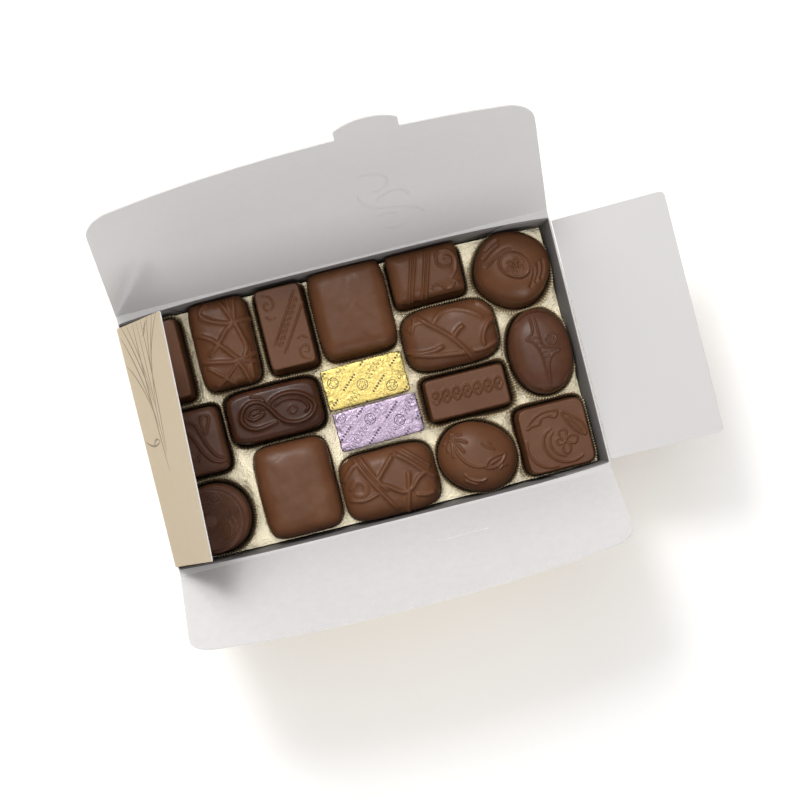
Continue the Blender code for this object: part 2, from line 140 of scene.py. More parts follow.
# A stroke is (width, height, points): raised above the chocolate, or pressed in where height is
# negative. The points are box positions, which the stroke follows in a smooth line.
STRING = (1.15, 0.95)
THIN_STRING = (0.85, 0.7)
MOULD_LINE = (0.44, 0.5)
FINE_LINE = (0.34, 0.38)
STROKES = {
    "square_dark_leaf": (
        (0.62, 0.75, ((-85, 6), (-79, 8), (-73.5, 6.6), (-70.5, 4.6), (-68.8, 0), (-67.2, -5),
                     (-64.5, -9.8), (-60.8, -12))),
        (0.62, 0.75, ((-84, 1), (-78, 3.4), (-73.6, 1.6), (-71.6, -2.5), (-69.8, -7), (-67, -10.8),
                     (-63.6, -12.6), (-60.6, -12.4))),
        (0.5, 0.55, ((-67.2, 6.8), (-65, 7.2), (-64.2, 5.8), (-65.6, 2.2), (-66.8, -0.2),
                     (-67.4, 1.6), (-67.8, 4.8), (-67.2, 6.8))),
        (0.5, 0.5, ((-83, -6), (-78, -5), (-73.6, -9.4), (-71.4, -8.4), (-72.2, -11))),
    ),
    "block_net_upright": (
        (*STRING, ((-58.5, 46.6), (-53, 43.6), (-47, 41.6), (-41, 41.8), (-37, 41.2))),
        (*STRING, ((-62, 40.5), (-56, 37), (-51.5, 32.5), (-47.6, 27.6), (-45, 25.6), (-38, 23.4))),
        (*STRING, ((-58, 30), (-53.5, 33.6), (-49, 38.6), (-45.4, 41.6), (-46.8, 47), (-49.4, 52))),
        (*STRING, ((-44.6, 41.6), (-43.2, 36), (-42.4, 30), (-44.6, 26.4))),
        (*THIN_STRING, ((-43.2, 36), (-41.6, 31), (-41.9, 24), (-42.4, 16))),
        (*STRING, ((-62, 28.4), (-55, 27), (-48.6, 25.8), (-42, 26.8), (-38.2, 27))),
        (*STRING, ((-47.4, 26), (-45.4, 22), (-43.6, 15.6))),
        (*THIN_STRING, ((-59.6, 25.8), (-54.6, 21.4), (-49.4, 16.4))),
        (*THIN_STRING, ((-46.6, 25.4), (-52, 20.8), (-58, 17))),
        (*THIN_STRING, ((-42.8, 52), (-43.6, 47), (-44.4, 41.6))),
        (*THIN_STRING, ((-45.6, 52), (-45.4, 47), (-44.8, 41.8))),
        (*THIN_STRING, ((-53.6, 52), (-57.6, 47.8), (-53, 44))),
    ),
    "square_plain_large": (
        (4.2, 0.26, ((2, 36), (6, 30.5), (11, 24), (15, 19))),
        (3.6, 0.14, ((-9, 44), (-3, 40), (3, 36))),
        (3.2, 0.14, ((4, 46), (9, 44), (14, 39))),
    ),
    "block_plain_tall": (
        (4.2, 0.22, ((-41, -18), (-37, -27), (-35, -36), (-33, -44))),
        (3.6, 0.14, ((-46, -33), (-40, -31), (-36, -29))),
    ),
    "slab_ribbed_cup": (
        (0.5, 0.3, ((-80, 47), (-80.4, 34), (-80, 20))),
    ),
    "block_diagonal_band": (
        (*MOULD_LINE, ((-17.6, 48.8), (-24, 38.6), (-30.8, 28.2))),
        (*MOULD_LINE, ((-14.9, 43.6), (-21.4, 33.6), (-27.7, 24))),
        (*FINE_LINE, ((-31.6, 49.2), (-28.2, 47.6), (-27.4, 44.4), (-29.6, 42.6), (-31.4, 44),
                      (-30.4, 45.8), (-29.2, 45))),
        (*FINE_LINE, ((-31.8, 40.6), (-29.6, 38.6), (-27.8, 39.6))),
        (*FINE_LINE, ((-17.4, 19.4), (-20.6, 21), (-21.2, 24.2), (-19, 25.8), (-17.4, 24.4),
                      (-18.2, 22.8), (-19.4, 23.4))),
        (*FINE_LINE, ((-17.2, 28.2), (-19.4, 29.8), (-21, 28.8))),
    ),
    "block_stripes_scroll": (
        (0.62, 0.7, ((32.4, 51), (30.4, 44), (28.6, 38), (26.6, 31))),
        (0.62, 0.7, ((34.2, 51), (32, 44), (30, 38), (28, 31))),
        (0.62, 0.7, ((38.4, 51), (36.2, 44), (34.4, 38), (32, 31))),
        (0.62, 0.7, ((40, 51), (37.8, 44), (36, 38), (33.8, 31))),
        (0.55, 0.7, ((44.6, 45.6), (45.8, 46.8), (47.4, 45.6), (46.9, 43.4), (44.6, 42.6),
                     (42.2, 44), (41.9, 47), (44, 49.3), (47.4, 48.8), (49.4, 45.6), (48.6, 40.6),
                     (46, 37.2))),
        (0.5, 0.6, ((37.4, 35.6), (39.2, 36.8), (41.6, 35.6), (43.4, 34), (45.8, 34.4),
                    (47.6, 36.2), (48.6, 34.6))),
        (0.9, 0.4, ((37, 35.2), (37.4, 35.6))),
    ),
    "egg_medallion": (
        (0.85, -0.8, ((60.2, 41.6), (64, 44.6), (68.6, 46.8))),
        (0.85, -0.8, ((61.6, 44.6), (65, 47), (68.6, 48.4))),
        (0.85, -0.7, ((60.2, 38), (64, 40.6), (69, 43), (73, 43.6))),
        (0.85, -0.8, ((79.2, 27), (81.6, 31), (82.4, 35.6))),
        (0.85, -0.8, ((81.8, 28), (84, 32), (84.4, 36.4))),
        (0.85, -0.65, ((76.6, 25.6), (79.2, 29.6), (80.4, 33.6))),
    ),
    "block_dark_loop": (
        (1.05, 1.1, ((-39.6, 4.4), (-36.8, 6.9), (-32, 8), (-26.6, 7.2), (-22.4, 4.4), (-20.6, 0.8),
                     (-22.8, -2.8), (-27.6, -4.4), (-32.4, -3.6), (-36, -1), (-39.6, 4.4),
                     (-42.6, 7), (-46.4, 7.4), (-49.8, 5.2), (-51.2, 1.4), (-49.4, -1.8),
                     (-45.8, -3.4), (-41, -3), (-36.8, -2.2))),
        (0.7, 0.8, ((-37.2, 4), (-34, 5.6), (-29.6, 5.7), (-25.4, 4), (-23.4, 0.9), (-25.4, -1.4))),
        (0.7, 0.8, ((-41, 3.4), (-44, 5), (-47, 4.6), (-48.6, 2.2), (-46.6, 0.6), (-43.6, 1.2),
                     (-41.2, 2.4))),
        (0.6, 0.6, ((-46.8, 2.4), (-44.6, 3.2), (-42.6, 3))),
        (0.4, 0.25, ((-31.9, 1.2), (-30, 2.9), (-28.1, 1.2), (-30, -0.5), (-31.9, 1.2))),
        (0.6, 0.4, ((-40.4, 6.6), (-42, 9), (-46, 10))),
    ),
    "block_net_wide": (
        (*STRING, ((27.4, 26), (32, 21.6), (37.4, 16.8), (41.6, 12.2), (45.2, 6.8), (47.4, 2.6))),
        (1.3, 0.6, ((33.6, 20.4), (37.6, 24.2), (43, 25.2), (49, 23), (55, 18.6))),
        (*STRING, ((20.4, 12.6), (26, 10.4), (32, 10.2), (36.6, 11.4))),
        (*STRING, ((22, 11), (30, 8.6), (38, 7.4), (45.6, 6.6))),
        (*THIN_STRING, ((27.2, 26), (26.4, 22.4), (24.4, 18.8))),
        (*STRING, ((40.8, 13.4), (43.4, 16), (46.4, 17.6))),
        (*STRING, ((59.6, 18.2), (55.8, 15.8), (53, 11.6), (52.4, 7))),
        (*THIN_STRING, ((47.4, 6.4), (53, 6.6), (58.4, 8.4))),
        (*THIN_STRING, ((53, 26), (56.4, 22.6), (59, 18.6))),
        (1.2, 0.5, ((23, 20.6), (27.8, 22.8), (30.6, 22.4))),
    ),
    "block_beaded_line": (
        (0.5, 0.55, ((26, -8.6), (28, -6.1), (30.2, -8.6), (32.4, -11.1), (34.6, -8.6),
                      (36.8, -6.1), (39, -8.6), (41.2, -11.1), (43.4, -8.6), (45.6, -6.1),
                      (47.8, -8.6), (50, -11.1), (52.2, -8.6), (54.4, -6.1), (56.4, -8.6))),
        (0.5, 0.55, ((26, -8.6), (28, -11.1), (30.2, -8.6), (32.4, -6.1), (34.6, -8.6),
                      (36.8, -11.1), (39, -8.6), (41.2, -6.1), (43.4, -8.6), (45.6, -11.1),
                      (47.8, -8.6), (50, -6.1), (52.2, -8.6), (54.4, -11.1), (56.4, -8.6))),
    ),
    "oval_dark_stem": (
        (*MOULD_LINE, ((73.2, 14), (73.4, 10), (72.6, 7.4), (70.2, 5.4), (72.6, 3.2), (74.2, -1),
                       (74.6, -7), (74.2, -14.8))),
        (*MOULD_LINE, ((75, 14), (75.2, 8), (75.4, 2.6), (77.6, 0), (82, -1.6), (78.6, -3),
                       (76.6, -6), (75.8, -10), (75.4, -14.8))),
        (*FINE_LINE, ((71.6, 5.4), (73.2, 5.6), (75.2, 5.2))),
        (*FINE_LINE, ((73.2, 3.4), (74.4, 3.6), (75.3, 3.2))),
        (*FINE_LINE, ((73.8, 1.2), (75, 1.4), (76.2, 1))),
        (*FINE_LINE, ((74.2, -1), (76.4, -0.8), (79.2, -1.2))),
        (*FINE_LINE, ((74.5, -3), (76, -2.9), (78, -3))),
        (*FINE_LINE, ((74.6, -5), (75.6, -4.9), (76.8, -5.2))),
    ),
    "block_net_front": (
        (*STRING, ((-10.8, -24.6), (-8.6, -30), (-5.6, -36), (-2, -42.4), (2.6, -49.4))),
        (*STRING, ((-8.8, -24.2), (-6.4, -29.6), (-3.4, -35.6), (0.2, -41))),
        (*STRING, ((-17, -33.6), (-12.4, -28.6), (-8.4, -27))),
        (*STRING, ((-4, -36.4), (0.6, -31.6), (5.4, -26.8))),
        (*STRING, ((5.2, -26.4), (11, -31), (16, -36.4), (20.4, -40.4))),
        (*THIN_STRING, ((8.6, -25), (14, -30), (19.6, -35.4))),
        (*STRING, ((-4.6, -37), (0, -38.8), (5.6, -42.6), (9.6, -42), (14, -38), (18.6, -36.6))),
        (*STRING, ((9.8, -34.6), (8.6, -41), (7, -47), (6, -51.4))),
        (*THIN_STRING, ((-16.4, -41), (-10.6, -42.4), (-3.6, -41))),
        (*THIN_STRING, ((10.6, -45), (15, -46), (18.6, -45.6))),
        (1.5, 0.5, ((-15, -37.6), (-12, -34.4), (-8.6, -36), (-9.6, -39.8), (-14.2, -40))),
    ),
    "egg_palm": (
        (0.55, 0.62, ((30.2, -27.4), (28.2, -27), (26.2, -28.6))),
        (0.55, 0.62, ((30.2, -27.4), (28.4, -29), (27.6, -32))),
        (0.55, 0.62, ((30.2, -27.4), (29.6, -31), (29.2, -34.6))),
        (0.55, 0.62, ((30.2, -27.4), (32.4, -30), (34.2, -33.4))),
        (0.55, 0.62, ((30.2, -27.4), (33.2, -28), (36.2, -29.6))),
        (0.55, 0.62, ((30.2, -27.4), (32.4, -25.8), (34.8, -26))),
        (0.55, 0.62, ((30.2, -27.4), (30.2, -25.6), (31.2, -24))),
        (0.6, 0.65, ((30.4, -28), (31.2, -33), (34, -37.6), (38, -40.2), (42, -40.6))),
        (0.5, 0.55, ((41, -41.4), (43, -38.6), (46.6, -37.6), (50, -37.4), (48, -40.4), (44.6, -42),
                     (41, -41.4))),
        (0.45, 0.5, ((43.2, -40.4), (46, -39.4), (48.4, -38.6))),
        (0.5, 0.55, ((31.6, -41.6), (34, -44.4), (37.6, -46), (40.6, -45.8))),
        (0.45, 0.5, ((31.4, -44), (33.6, -45.6), (36.4, -47.2))),
        (0.45, 0.5, ((41, -31), (43.4, -33.4), (46.4, -35))),
        (0.45, 0.5, ((43.6, -31.4), (45.4, -32.8))),
        (0.45, 0.5, ((46.4, -43.4), (47.8, -42), (50, -42))),
    ),
    "square_flower": (
        (0.46, 0.52, ((61.4, -30.4), (63.4, -27.6), (67, -25.6), (71, -24.9), (75, -25.6),
                      (73.6, -28), (70.8, -26.9), (68, -27.4), (66.4, -29.4), (63.4, -29.6),
                      (61.4, -30.4))),
        (0.46, 0.52, ((76.6, -26.6), (80, -29), (83.6, -32.6), (84.4, -37.6), (81, -35.6),
                      (78.4, -32), (76.6, -26.6))),
        (0.4, 0.4, ((77.8, -28.6), (80.6, -32), (83.2, -36))),
        (0.46, 0.52, ((60, -34.8), (59.6, -39.6), (61.6, -44.4), (65.8, -47.4), (71, -48))),
        (0.46, 0.52, ((71.4, -32), (68, -34), (66.4, -38.4), (68, -43), (72, -46.4), (77.4, -47.2),
                      (82.6, -45.2))),
        (0.42, 0.45, ((71.6, -33.6), (69.6, -36), (69.2, -39.4), (71, -42.8), (74.6, -44.8))),
        (0.42, 0.45, ((75.6, -38.6), (73.4, -36.4), (74, -33.8), (76.6, -34.6), (75.6, -38.6))),
        (0.42, 0.45, ((75.6, -38.6), (78.2, -36.6), (80.6, -38), (79, -40.2), (75.6, -38.6))),
        (0.42, 0.45, ((75.6, -38.6), (77, -41.4), (75.4, -43.6), (73.6, -41.6), (75.6, -38.6))),
        (0.42, 0.45, ((75.6, -38.6), (72.8, -39.4), (72, -37.6), (73.6, -36.6))),
        (0.6, 0.36, ((75.3, -38.6), (75.9, -38.6))),
    ),
}

# ---------------------------------------------------------------- settings


def colour_setting(name, description, default):
    """A colour in a group of settings."""
    return bpy.props.FloatVectorProperty(
        name=name, description=description, default=default, size=3, subtype="COLOR")


def number_setting(name, description, default, low, high, **kind):
    """A number in a group of settings, with its limits."""
    return bpy.props.FloatProperty(
        name=name, description=description, default=default, min=low, max=high, **kind)


class CardSettings(bpy.types.PropertyGroup):
    """Sizes and colours of the card box and its cream sheet."""

    thickness: number_setting(
        "Card thickness", "Thickness of the folded card",
        0.00048, 0.0002, 0.002, unit="LENGTH")
    tab_length: number_setting(
        "Glue tab length", "How far an end wall's tab reaches along a long wall",
        0.0205, 0.005, 0.04, unit="LENGTH")
    left_twist: bpy.props.FloatProperty(
        name="Left flap twist", description="How much the left flap is twisted between its ends",
        default=math.radians(4.6), subtype="ANGLE")
    inside: colour_setting(
        "Inside", "Colour of the uncoated inside of the card", (0.63, 0.615, 0.61))
    # Painted shade: the inner walls are the same white card as the inside, darkened here to stand in
    # for the shade that falls inside the box.
    painted_shade_inner_wall: colour_setting(
        "Inner walls", "Colour of the grey inner face of the walls", (0.22, 0.21, 0.205))
    outside: colour_setting(
        "Outside", "Colour of the printed outside of the card", (0.645, 0.525, 0.36))
    line_ink: colour_setting("Line ink", "Colour of the thin printed lines", (0.27, 0.20, 0.125))
    sheet: colour_setting(
        "Sheet", "Colour of the cream sheet under the pralines", (0.93, 0.83, 0.60))


class ChocolateSettings(bpy.types.PropertyGroup):
    """Colours and finish of the chocolate."""

    milk: colour_setting("Milk", "Colour of milk chocolate", (0.147, 0.060, 0.0265))
    milk_shade: colour_setting(
        "Milk shade", "Darker patches of milk chocolate", (0.124, 0.048, 0.0205))
    dark: colour_setting("Dark", "Colour of dark chocolate", (0.124, 0.052, 0.028))
    dark_shade: colour_setting(
        "Dark shade", "Darker patches of dark chocolate", (0.094, 0.036, 0.018))
    darkest: colour_setting("Darkest", "Colour of the darkest praline", (0.066, 0.022, 0.0095))
    relief: number_setting(
        "Relief", "Strength of the moulded lines and strings",
        1.25, 0.0, 2.0, subtype="FACTOR")


class CupSettings(bpy.types.PropertyGroup):
    """Sizes and colour of the pleated paper cups, and the painted highlight along their pleats'
    crests.
    """

    pitch: number_setting(
        "Pleat pitch", "Distance from one pleat to the next",
        0.00107, 0.0005, 0.004, unit="LENGTH")
    depth: number_setting(
        "Pleat depth", "How far a pleat stands out at the rim",
        0.00034, 0.0, 0.001, unit="LENGTH")
    ragged: number_setting(
        "Ragged rim", "How uneven the cut rim is",
        0.0006, 0.0, 0.002, unit="LENGTH")
    paper: number_setting(
        "Paper thickness", "Thickness of the cup paper",
        0.00012, 0.00005, 0.0005, unit="LENGTH")
    # Painted highlight: the crest colour stands in for light caught along the pleats' crests; the
    # rest of the cup keeps the fold colour.
    crest: colour_setting(
        "Crest", "Colour of the paper where light comes through its pleats", (0.95, 0.77, 0.47))
    fold: colour_setting("Fold", "Colour of the paper deep in its pleats", (0.12, 0.083, 0.047))


class FoilSettings(bpy.types.PropertyGroup):
    """Colours and crinkles of the foil-wrapped blocks."""

    yellow: colour_setting("Yellow", "Colour of the yellow foil", (0.73, 0.57, 0.18))
    lilac: colour_setting("Lilac", "Colour of the lilac foil", (0.45, 0.355, 0.465))
    yellow_ink: colour_setting(
        "Ink on yellow", "Colour of the print on the yellow foil", (0.10, 0.075, 0.045))
    lilac_ink: colour_setting(
        "Ink on lilac", "Colour of the print on the lilac foil", (0.085, 0.06, 0.10))
    crinkle: number_setting(
        "Crinkle", "Height of the creases pressed into the foil",
        0.0006, 0.0, 0.001, unit="LENGTH")


class StageSettings(bpy.types.PropertyGroup):
    """Floor, lights and camera."""

    floor: colour_setting("Floor", "Colour of the floor", (1.0, 1.0, 1.0))
    ambient: number_setting(
        "Ambient light", "Strength of the even light from all round",
        0.2, 0.0, 3.0)
    top: number_setting(
        "Top light", "Power of the large soft light overhead",
        11.6, 0.0, 200.0, unit="POWER")
    rear: number_setting(
        "Rear light", "Power of the soft light high at the back",
        9.5, 0.0, 200.0, unit="POWER")
    key: number_setting(
        "Key light", "Power of the large soft light low at the back",
        11.0, 0.0, 200.0, unit="POWER")
    fill: number_setting(
        "Fill light", "Power of the soft light low in front",
        13.5, 0.0, 200.0, unit="POWER")
    lens: number_setting(
        "Lens", "Focal length of the camera",
        110.6, 20.0, 300.0, unit="CAMERA")


# ---------------------------------------------------------------- meshes


def mesh_object(name, points, faces, materials, sharp_angle=None):
    """Turn points in millimetres and faces into a smooth-shaded object."""
    mesh = bpy.data.meshes.new(name)
    mesh.from_pydata((np.asarray(points, float) * MM).tolist(), [], faces)
    mesh.update()
    mesh.shade_smooth()
    if sharp_angle:
        mesh.set_sharp_from_angle(angle=math.radians(sharp_angle))
    for item in materials:
        mesh.materials.append(item)
    made = bpy.data.objects.new(name, mesh)
    bpy.context.scene.collection.objects.link(made)
    return made


def plain_mesh(piece):
    """Apply a piece's modifiers, leaving it a plain mesh."""
    shaped = piece.evaluated_get(bpy.context.evaluated_depsgraph_get())
    mesh = bpy.data.meshes.new_from_object(shaped)
    piece.modifiers.clear()
    piece.data = mesh
    return piece


def hand_over(piece, body, node):
    """Let a finished piece take its node's place on a body."""
    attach(piece, body)
    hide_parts(node)


def box_in_mm(node):
    """Lowest and highest corners of a node, in millimetres."""
    low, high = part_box(node)
    return np.array(low) / MM, np.array(high) / MM


def turning(degrees):
    """Matrix that turns rows of flat positions."""
    c, s = math.cos(math.radians(degrees)), math.sin(math.radians(degrees))
    return np.array(((c, s), (-s, c)))


def grid_index(rows, columns):
    """Quads of a grid of points numbered row by row, and its border in order."""
    index = np.arange(rows * columns).reshape(rows, columns)
    quads = np.stack([index[:-1, :-1], index[:-1, 1:], index[1:, 1:], index[1:, :-1]], -1)
    border = np.concatenate([index[0, :-1], index[:-1, -1], index[-1, :0:-1], index[:0:-1, 0]])
    return quads.reshape(-1, 4), border


def skirt_faces(border, first, rings):
    """Quads from a grid's border down through rings of points, closed across the last ring."""
    faces, previous = [], border.tolist()
    for level in range(rings):
        ring = [first + level * len(border) + index for index in range(len(border))]
        for index in range(len(border)):
            after = (index + 1) % len(border)
            faces.append((previous[index], ring[index], ring[after], previous[after]))
        previous = ring
    faces.append(tuple(previous[::-1]))
    return faces


def joined(parts):
    """Points and faces of several closed parts as one set."""
    all_points, all_faces, first = [], [], 0
    for points, faces in parts:
        all_points.append(points)
        all_faces += [tuple(index + first for index in item) for item in faces]
        first += len(points)
    return np.vstack(all_points), all_faces


def scaled(colour, share):
    """A colour made lighter or darker."""
    return tuple(value * share for value in colour)


def ring_faces(first, second, count):
    """Quads between two closed rings of equal count, given the first index of each."""
    return [
        (first + index, first + (index + 1) % count, second + (index + 1) % count, second + index)
        for index in range(count)
    ]


def smooth_line(points, per_span=10):
    """Points along a Catmull-Rom curve through the given points."""
    given = np.asarray(points, float)
    closed = len(given) > 3 and np.allclose(given[0], given[-1])
    if closed:
        padded = np.vstack([given[-2], given, given[1]])
    else:
        padded = np.vstack([2 * given[0] - given[1], given, 2 * given[-1] - given[-2]])
    share = np.linspace(0, 1, per_span, endpoint=False)[:, None]
    pieces = []
    for index in range(1, len(padded) - 2):
        before, start, end, after = padded[index - 1:index + 3]
        pieces.append(0.5 * (
            2 * start + (end - before) * share
            + (2 * before - 5 * start + 4 * end - after) * share ** 2
            + (3 * start - before - 3 * end + after) * share ** 3))
    pieces.append(given[-1:])
    return np.vstack(pieces), closed


def distance_to_line(places, line):
    """Distance of each place from a line's spans, and the share of the line at the nearest one."""
    nearest = np.full(len(places), 1e9)
    along = np.zeros(len(places))
    for index, (start, end) in enumerate(zip(line, line[1:])):
        span = end - start
        share = np.clip((places - start) @ span / max(span @ span, 1e-9), 0, 1)
        gap = np.linalg.norm(places - start - share[:, None] * span, axis=1)
        closer = gap < nearest
        nearest[closer] = gap[closer]
        along[closer] = (index + share[closer]) / (len(line) - 1)
    return nearest, along


def stroke_height(places, width, height, points):
    """Height that one stroke gives to each place, tapering towards its ends."""
    line, closed = smooth_line(points)
    near = np.all(np.abs(places - line.mean(0)) < np.ptp(line, axis=0) / 2 + 2 * width + 1, axis=1)
    raised = np.zeros(len(places))
    gap, along = distance_to_line(places[near], line)
    taper = 1.0 if closed else np.clip(np.minimum(along, 1 - along) * 9, 0, 1) ** 0.5
    core = np.clip(1 - (gap / width) ** 2, 0, 1)
    skirt = np.clip(1 - (gap / (2.1 * width)) ** 2, 0, 1) ** 2
    raised[near] = height * taper * (0.72 * core + 0.28 * skirt)
    return raised


def ring_stroke(places, centre, radii, turn, width, height):
    """Height of an oval ring."""
    c, s = math.cos(math.radians(turn)), math.sin(math.radians(turn))
    x, y = (places - centre).T
    across, up = (c * x + s * y) / radii[0], (-s * x + c * y) / radii[1]
    gap = np.abs(np.hypot(across, up) - 1) * min(radii)
    return height * np.clip(1 - (gap / width) ** 2, 0, 1) ** 1.4


def grooved_rings(places):
    """Fine turned rings of the round dark praline, with two crossing curls."""
    x, y = (places - ROUND_CENTRE).T
    radius = np.hypot(x, y)
    angle = np.degrees(np.arctan2(y, x))
    inside = np.clip((12.6 - radius) / 0.8, 0, 1) * np.clip((radius - 2.0) / 0.8, 0, 1)
    fan = np.clip((np.abs(angle - 20) - 6) / 10, 0, 1) * 0.35 + 0.65
    raised = 0.44 * np.sin(2 * math.pi * radius / 0.82) * inside * fan
    raised += ring_stroke(places, ROUND_CENTRE, (13.2, 13.2), 0, 0.5, 0.4)
    for points in (((-64.6, -35.2), (-63.6, -39), (-64.8, -43)),
                   ((-66.8, -36), (-65.8, -39.6), (-67, -43.4)),
                   ((-71.6, -24.6), (-68.4, -25.4), (-67.4, -28), (-69.8, -28.6), (-70.2, -26.6))):
        raised = np.maximum(raised, stroke_height(places, 0.5, 0.4, points))
    return raised


def medallion(places):
    """Oval medallion of the egg praline with a small open flower in it."""
    centre = np.array((72.6, 36.2))
    raised = -ring_stroke(places, centre, (6.9, 5.1), -35, 0.6, 0.65)
    raised += ring_stroke(places, centre, (6.2, 4.5), -35, 0.45, 0.45)
    for petal in range(6):
        turn = petal * math.pi / 3 + 0.3
        offset = np.array((2.3 * math.cos(turn), 1.7 * math.sin(turn)))
        raised += ring_stroke(places, centre + offset, (1.35, 0.85), math.degrees(turn), 0.4, 0.45)
    return raised + ring_stroke(places, centre, (0.7, 0.7), 0, 0.4, 0.45)


def rosette(places):
    """Small rosette beside the stem of the oval praline."""
    raised = ring_stroke(places, (79.8, 3.4), (2.1, 2.3), 0, 0.4, 0.42)
    for petal in range(5):
        turn = petal * 2 * math.pi / 5
        place = (79.8 + 1.05 * math.cos(turn), 3.4 + 1.1 * math.sin(turn))
        raised = np.maximum(raised, ring_stroke(places, place, (0.55, 0.55), 0, 0.34, 0.36))
    return raised


def beads(places):
    """Row of small beads inside the plaited line."""
    raised = np.zeros(len(places))
    for step in range(7):
        place = (28.1 + 4.4 * step, -8.6)
        raised = np.maximum(raised, 0.55 * np.clip(
            1 - (np.linalg.norm(places - place, axis=1) / 0.85) ** 2, 0, 1) ** 0.8)
    return raised


def diagonal_beads(places):
    """Row of dashes between the two diagonal lines."""
    raised = np.zeros(len(places))
    for step in range(8):
        place = np.array((-28.2 + 1.38 * step, 28.4 + 2.28 * step))
        raised = np.maximum(raised, ring_stroke(places, place, (0.95, 0.6), 32, 0.34, 0.34))
    return raised


RAISED = ("block_net_upright", "block_net_wide", "block_net_front", "block_dark_loop",
          "block_stripes_scroll")
EXTRA_RELIEF = {
    "round_dark_rings": grooved_rings,
    "egg_medallion": medallion,
    "oval_dark_stem": rosette,
    "block_beaded_line": beads,
    "block_diagonal_band": diagonal_beads,
}


def lump_height(points, size, seed):
    """Slow unevenness of poured chocolate, from seeded noise."""
    shift = Vector((seed * 7.3, seed * 3.1, seed * 1.7))
    heights = []
    for point in points:
        place = Vector(point)
        heights.append(noise.noise(place / 11.0 + shift) + 0.35 * noise.noise(place / 4.5 - shift))
    return size * np.array(heights)


def offset_level(x, y, half_x, half_y, power):
    """Inset of the superellipse that passes through each point."""
    low = np.zeros_like(x)
    high = np.full_like(x, min(half_x, half_y) - 1e-3)
    for _ in range(24):
        middle = (low + high) / 2
        reach = np.minimum(np.abs(x) / (half_x - middle), 4) ** power
        reach += np.minimum(np.abs(y) / (half_y - middle), 4) ** power
        low = np.where(reach < 1, middle, low)
        high = np.where(reach < 1, high, middle)
    return low


def profile_curve(form, height, half):
    """Side and shoulder of a praline as (inset, height) rows, from its foot to its flat."""
    level = height - form.crown
    shoulder = half if form.round_top else form.shoulder
    foot_rows = [(form.foot, 0.0), (form.foot * 0.45, 0.12 * (level - form.drop))]
    side = np.linspace(0.3, 1.0, 5)
    rows = foot_rows + [(form.draft * share, share * (level - form.drop)) for share in side]
    for angle in np.linspace(0, math.pi / 2, 34)[1:]:
        inset = form.draft + shoulder * (1 - math.cos(angle) ** (2 / form.power))
        rows.append((inset, level - form.drop + form.drop * math.sin(angle) ** (2 / form.power)))
    return np.array(rows)


def square_grid(columns, rows):
    """Points of a grid over a square, its quads, and its border in order."""
    x, y = np.meshgrid(np.linspace(-1, 1, columns + 1), np.linspace(-1, 1, rows + 1))
    quads, border = grid_index(rows + 1, columns + 1)
    return x.ravel(), y.ravel(), quads, border


def rounding(x, y, power):
    """Factor that draws a square grid's rings onto superellipses."""
    reach = np.maximum(np.maximum(np.abs(x), np.abs(y)), 1e-9)
    total = (np.abs(x) / reach) ** power + (np.abs(y) / reach) ** power
    return np.maximum(total, 1.0) ** (-1 / power)


def sculpt(sweet):
    """Points and faces of one praline: foot, side, shoulder and a finely gridded top."""
    low, high = box_in_mm(sweet.name)
    centre, height = (low + high)[:2] / 2, high[2] - low[2]
    if sweet.name in RAISED:
        height -= 0.7
    half_x, half_y = sweet.length / 2, sweet.width / 2
    form = FORMS[sweet.form]
    least = min(half_x, half_y)
    curve = profile_curve(form, height, least)
    start = form.draft + (0.12 * least if form.round_top else min(form.shoulder, 1.5))
    skirt = curve[curve[:, 0] < start - 0.02] if form.foot == 0 else np.vstack(
        [curve[:2], curve[2:][curve[2:, 0] < start - 0.02]])
    columns = int(sweet.length / sweet.cell)
    rows = int(sweet.width / sweet.cell)
    x, y, quads, border = square_grid(columns, rows)
    power = sweet.squareness
    factor = rounding(x, y, power)
    top_x, top_y = factor * x * (half_x - start), factor * y * (half_y - start)
    if form.round_top:
        scale = ((np.abs(top_x) / half_x) ** power + (np.abs(top_y) / half_y) ** power) ** (1 / power)
        level = (1 - scale) * least
    else:
        level = offset_level(top_x, top_y, half_x, half_y, power)
    rise = np.maximum.accumulate(curve[2:, 0])
    top_z = np.interp(level, rise, curve[2:, 1])
    if form.crown:
        top_z += form.crown * np.sin(np.clip(level / least, 0, 1) * math.pi / 2) ** 1.5
    points = [np.column_stack([top_x, top_y, top_z])]
    faces = [tuple(quad) for quad in quads.tolist()]
    edge_x = (factor * x)[border]
    edge_y = (factor * y)[border]
    for inset, z in skirt[::-1]:
        if form.round_top:
            ring_x = edge_x * half_x * (1 - inset / least)
            ring_y = edge_y * half_y * (1 - inset / least)
        else:
            ring_x, ring_y = edge_x * (half_x - inset), edge_y * (half_y - inset)
        points.append(np.column_stack([ring_x, ring_y, np.full(len(border), z)]))
    faces += skirt_faces(border, len(top_x), len(skirt))
    points = np.vstack(points)
    points[:, :2] = points[:, :2] @ turning(sweet.turn) + centre
    lean_u, lean_v, growth = LEANS.get(sweet.name, (0.0, 0.0, 0.0))
    share = np.clip(points[:, 2] / height * 1.8, 0, 1)
    share = (share * share * (3 - 2 * share))[:, None]
    points[:, :2] += ((points[:, :2] - centre) * growth + (lean_u, lean_v)) * share
    points[:, 2] += low[2]
    return points, faces, height, low[2]


def keep_inside_walls(places, margin, slack):
    """Hold a piece's sides softly clear of the box's walls and glue tabs."""

    def held(value, limit):
        return limit - slack * np.logaddexp(0.0, (limit - value) / slack)

    x, y, z = places.T.copy()
    room = margin + TAB_ROOM * np.clip((np.abs(x) - TAB_START) / TAB_BLEND, 0, 1)
    station = np.clip(x / RIM_HALF_LENGTH, -1, 1)
    y = held(y, wall_v(1, station, z) - room)
    places[:, 1] = -held(-y, wall_v(-1, station, z) - room)
    end = wall_u(z) - margin
    places[:, 0] = -held(-held(x, end), end)


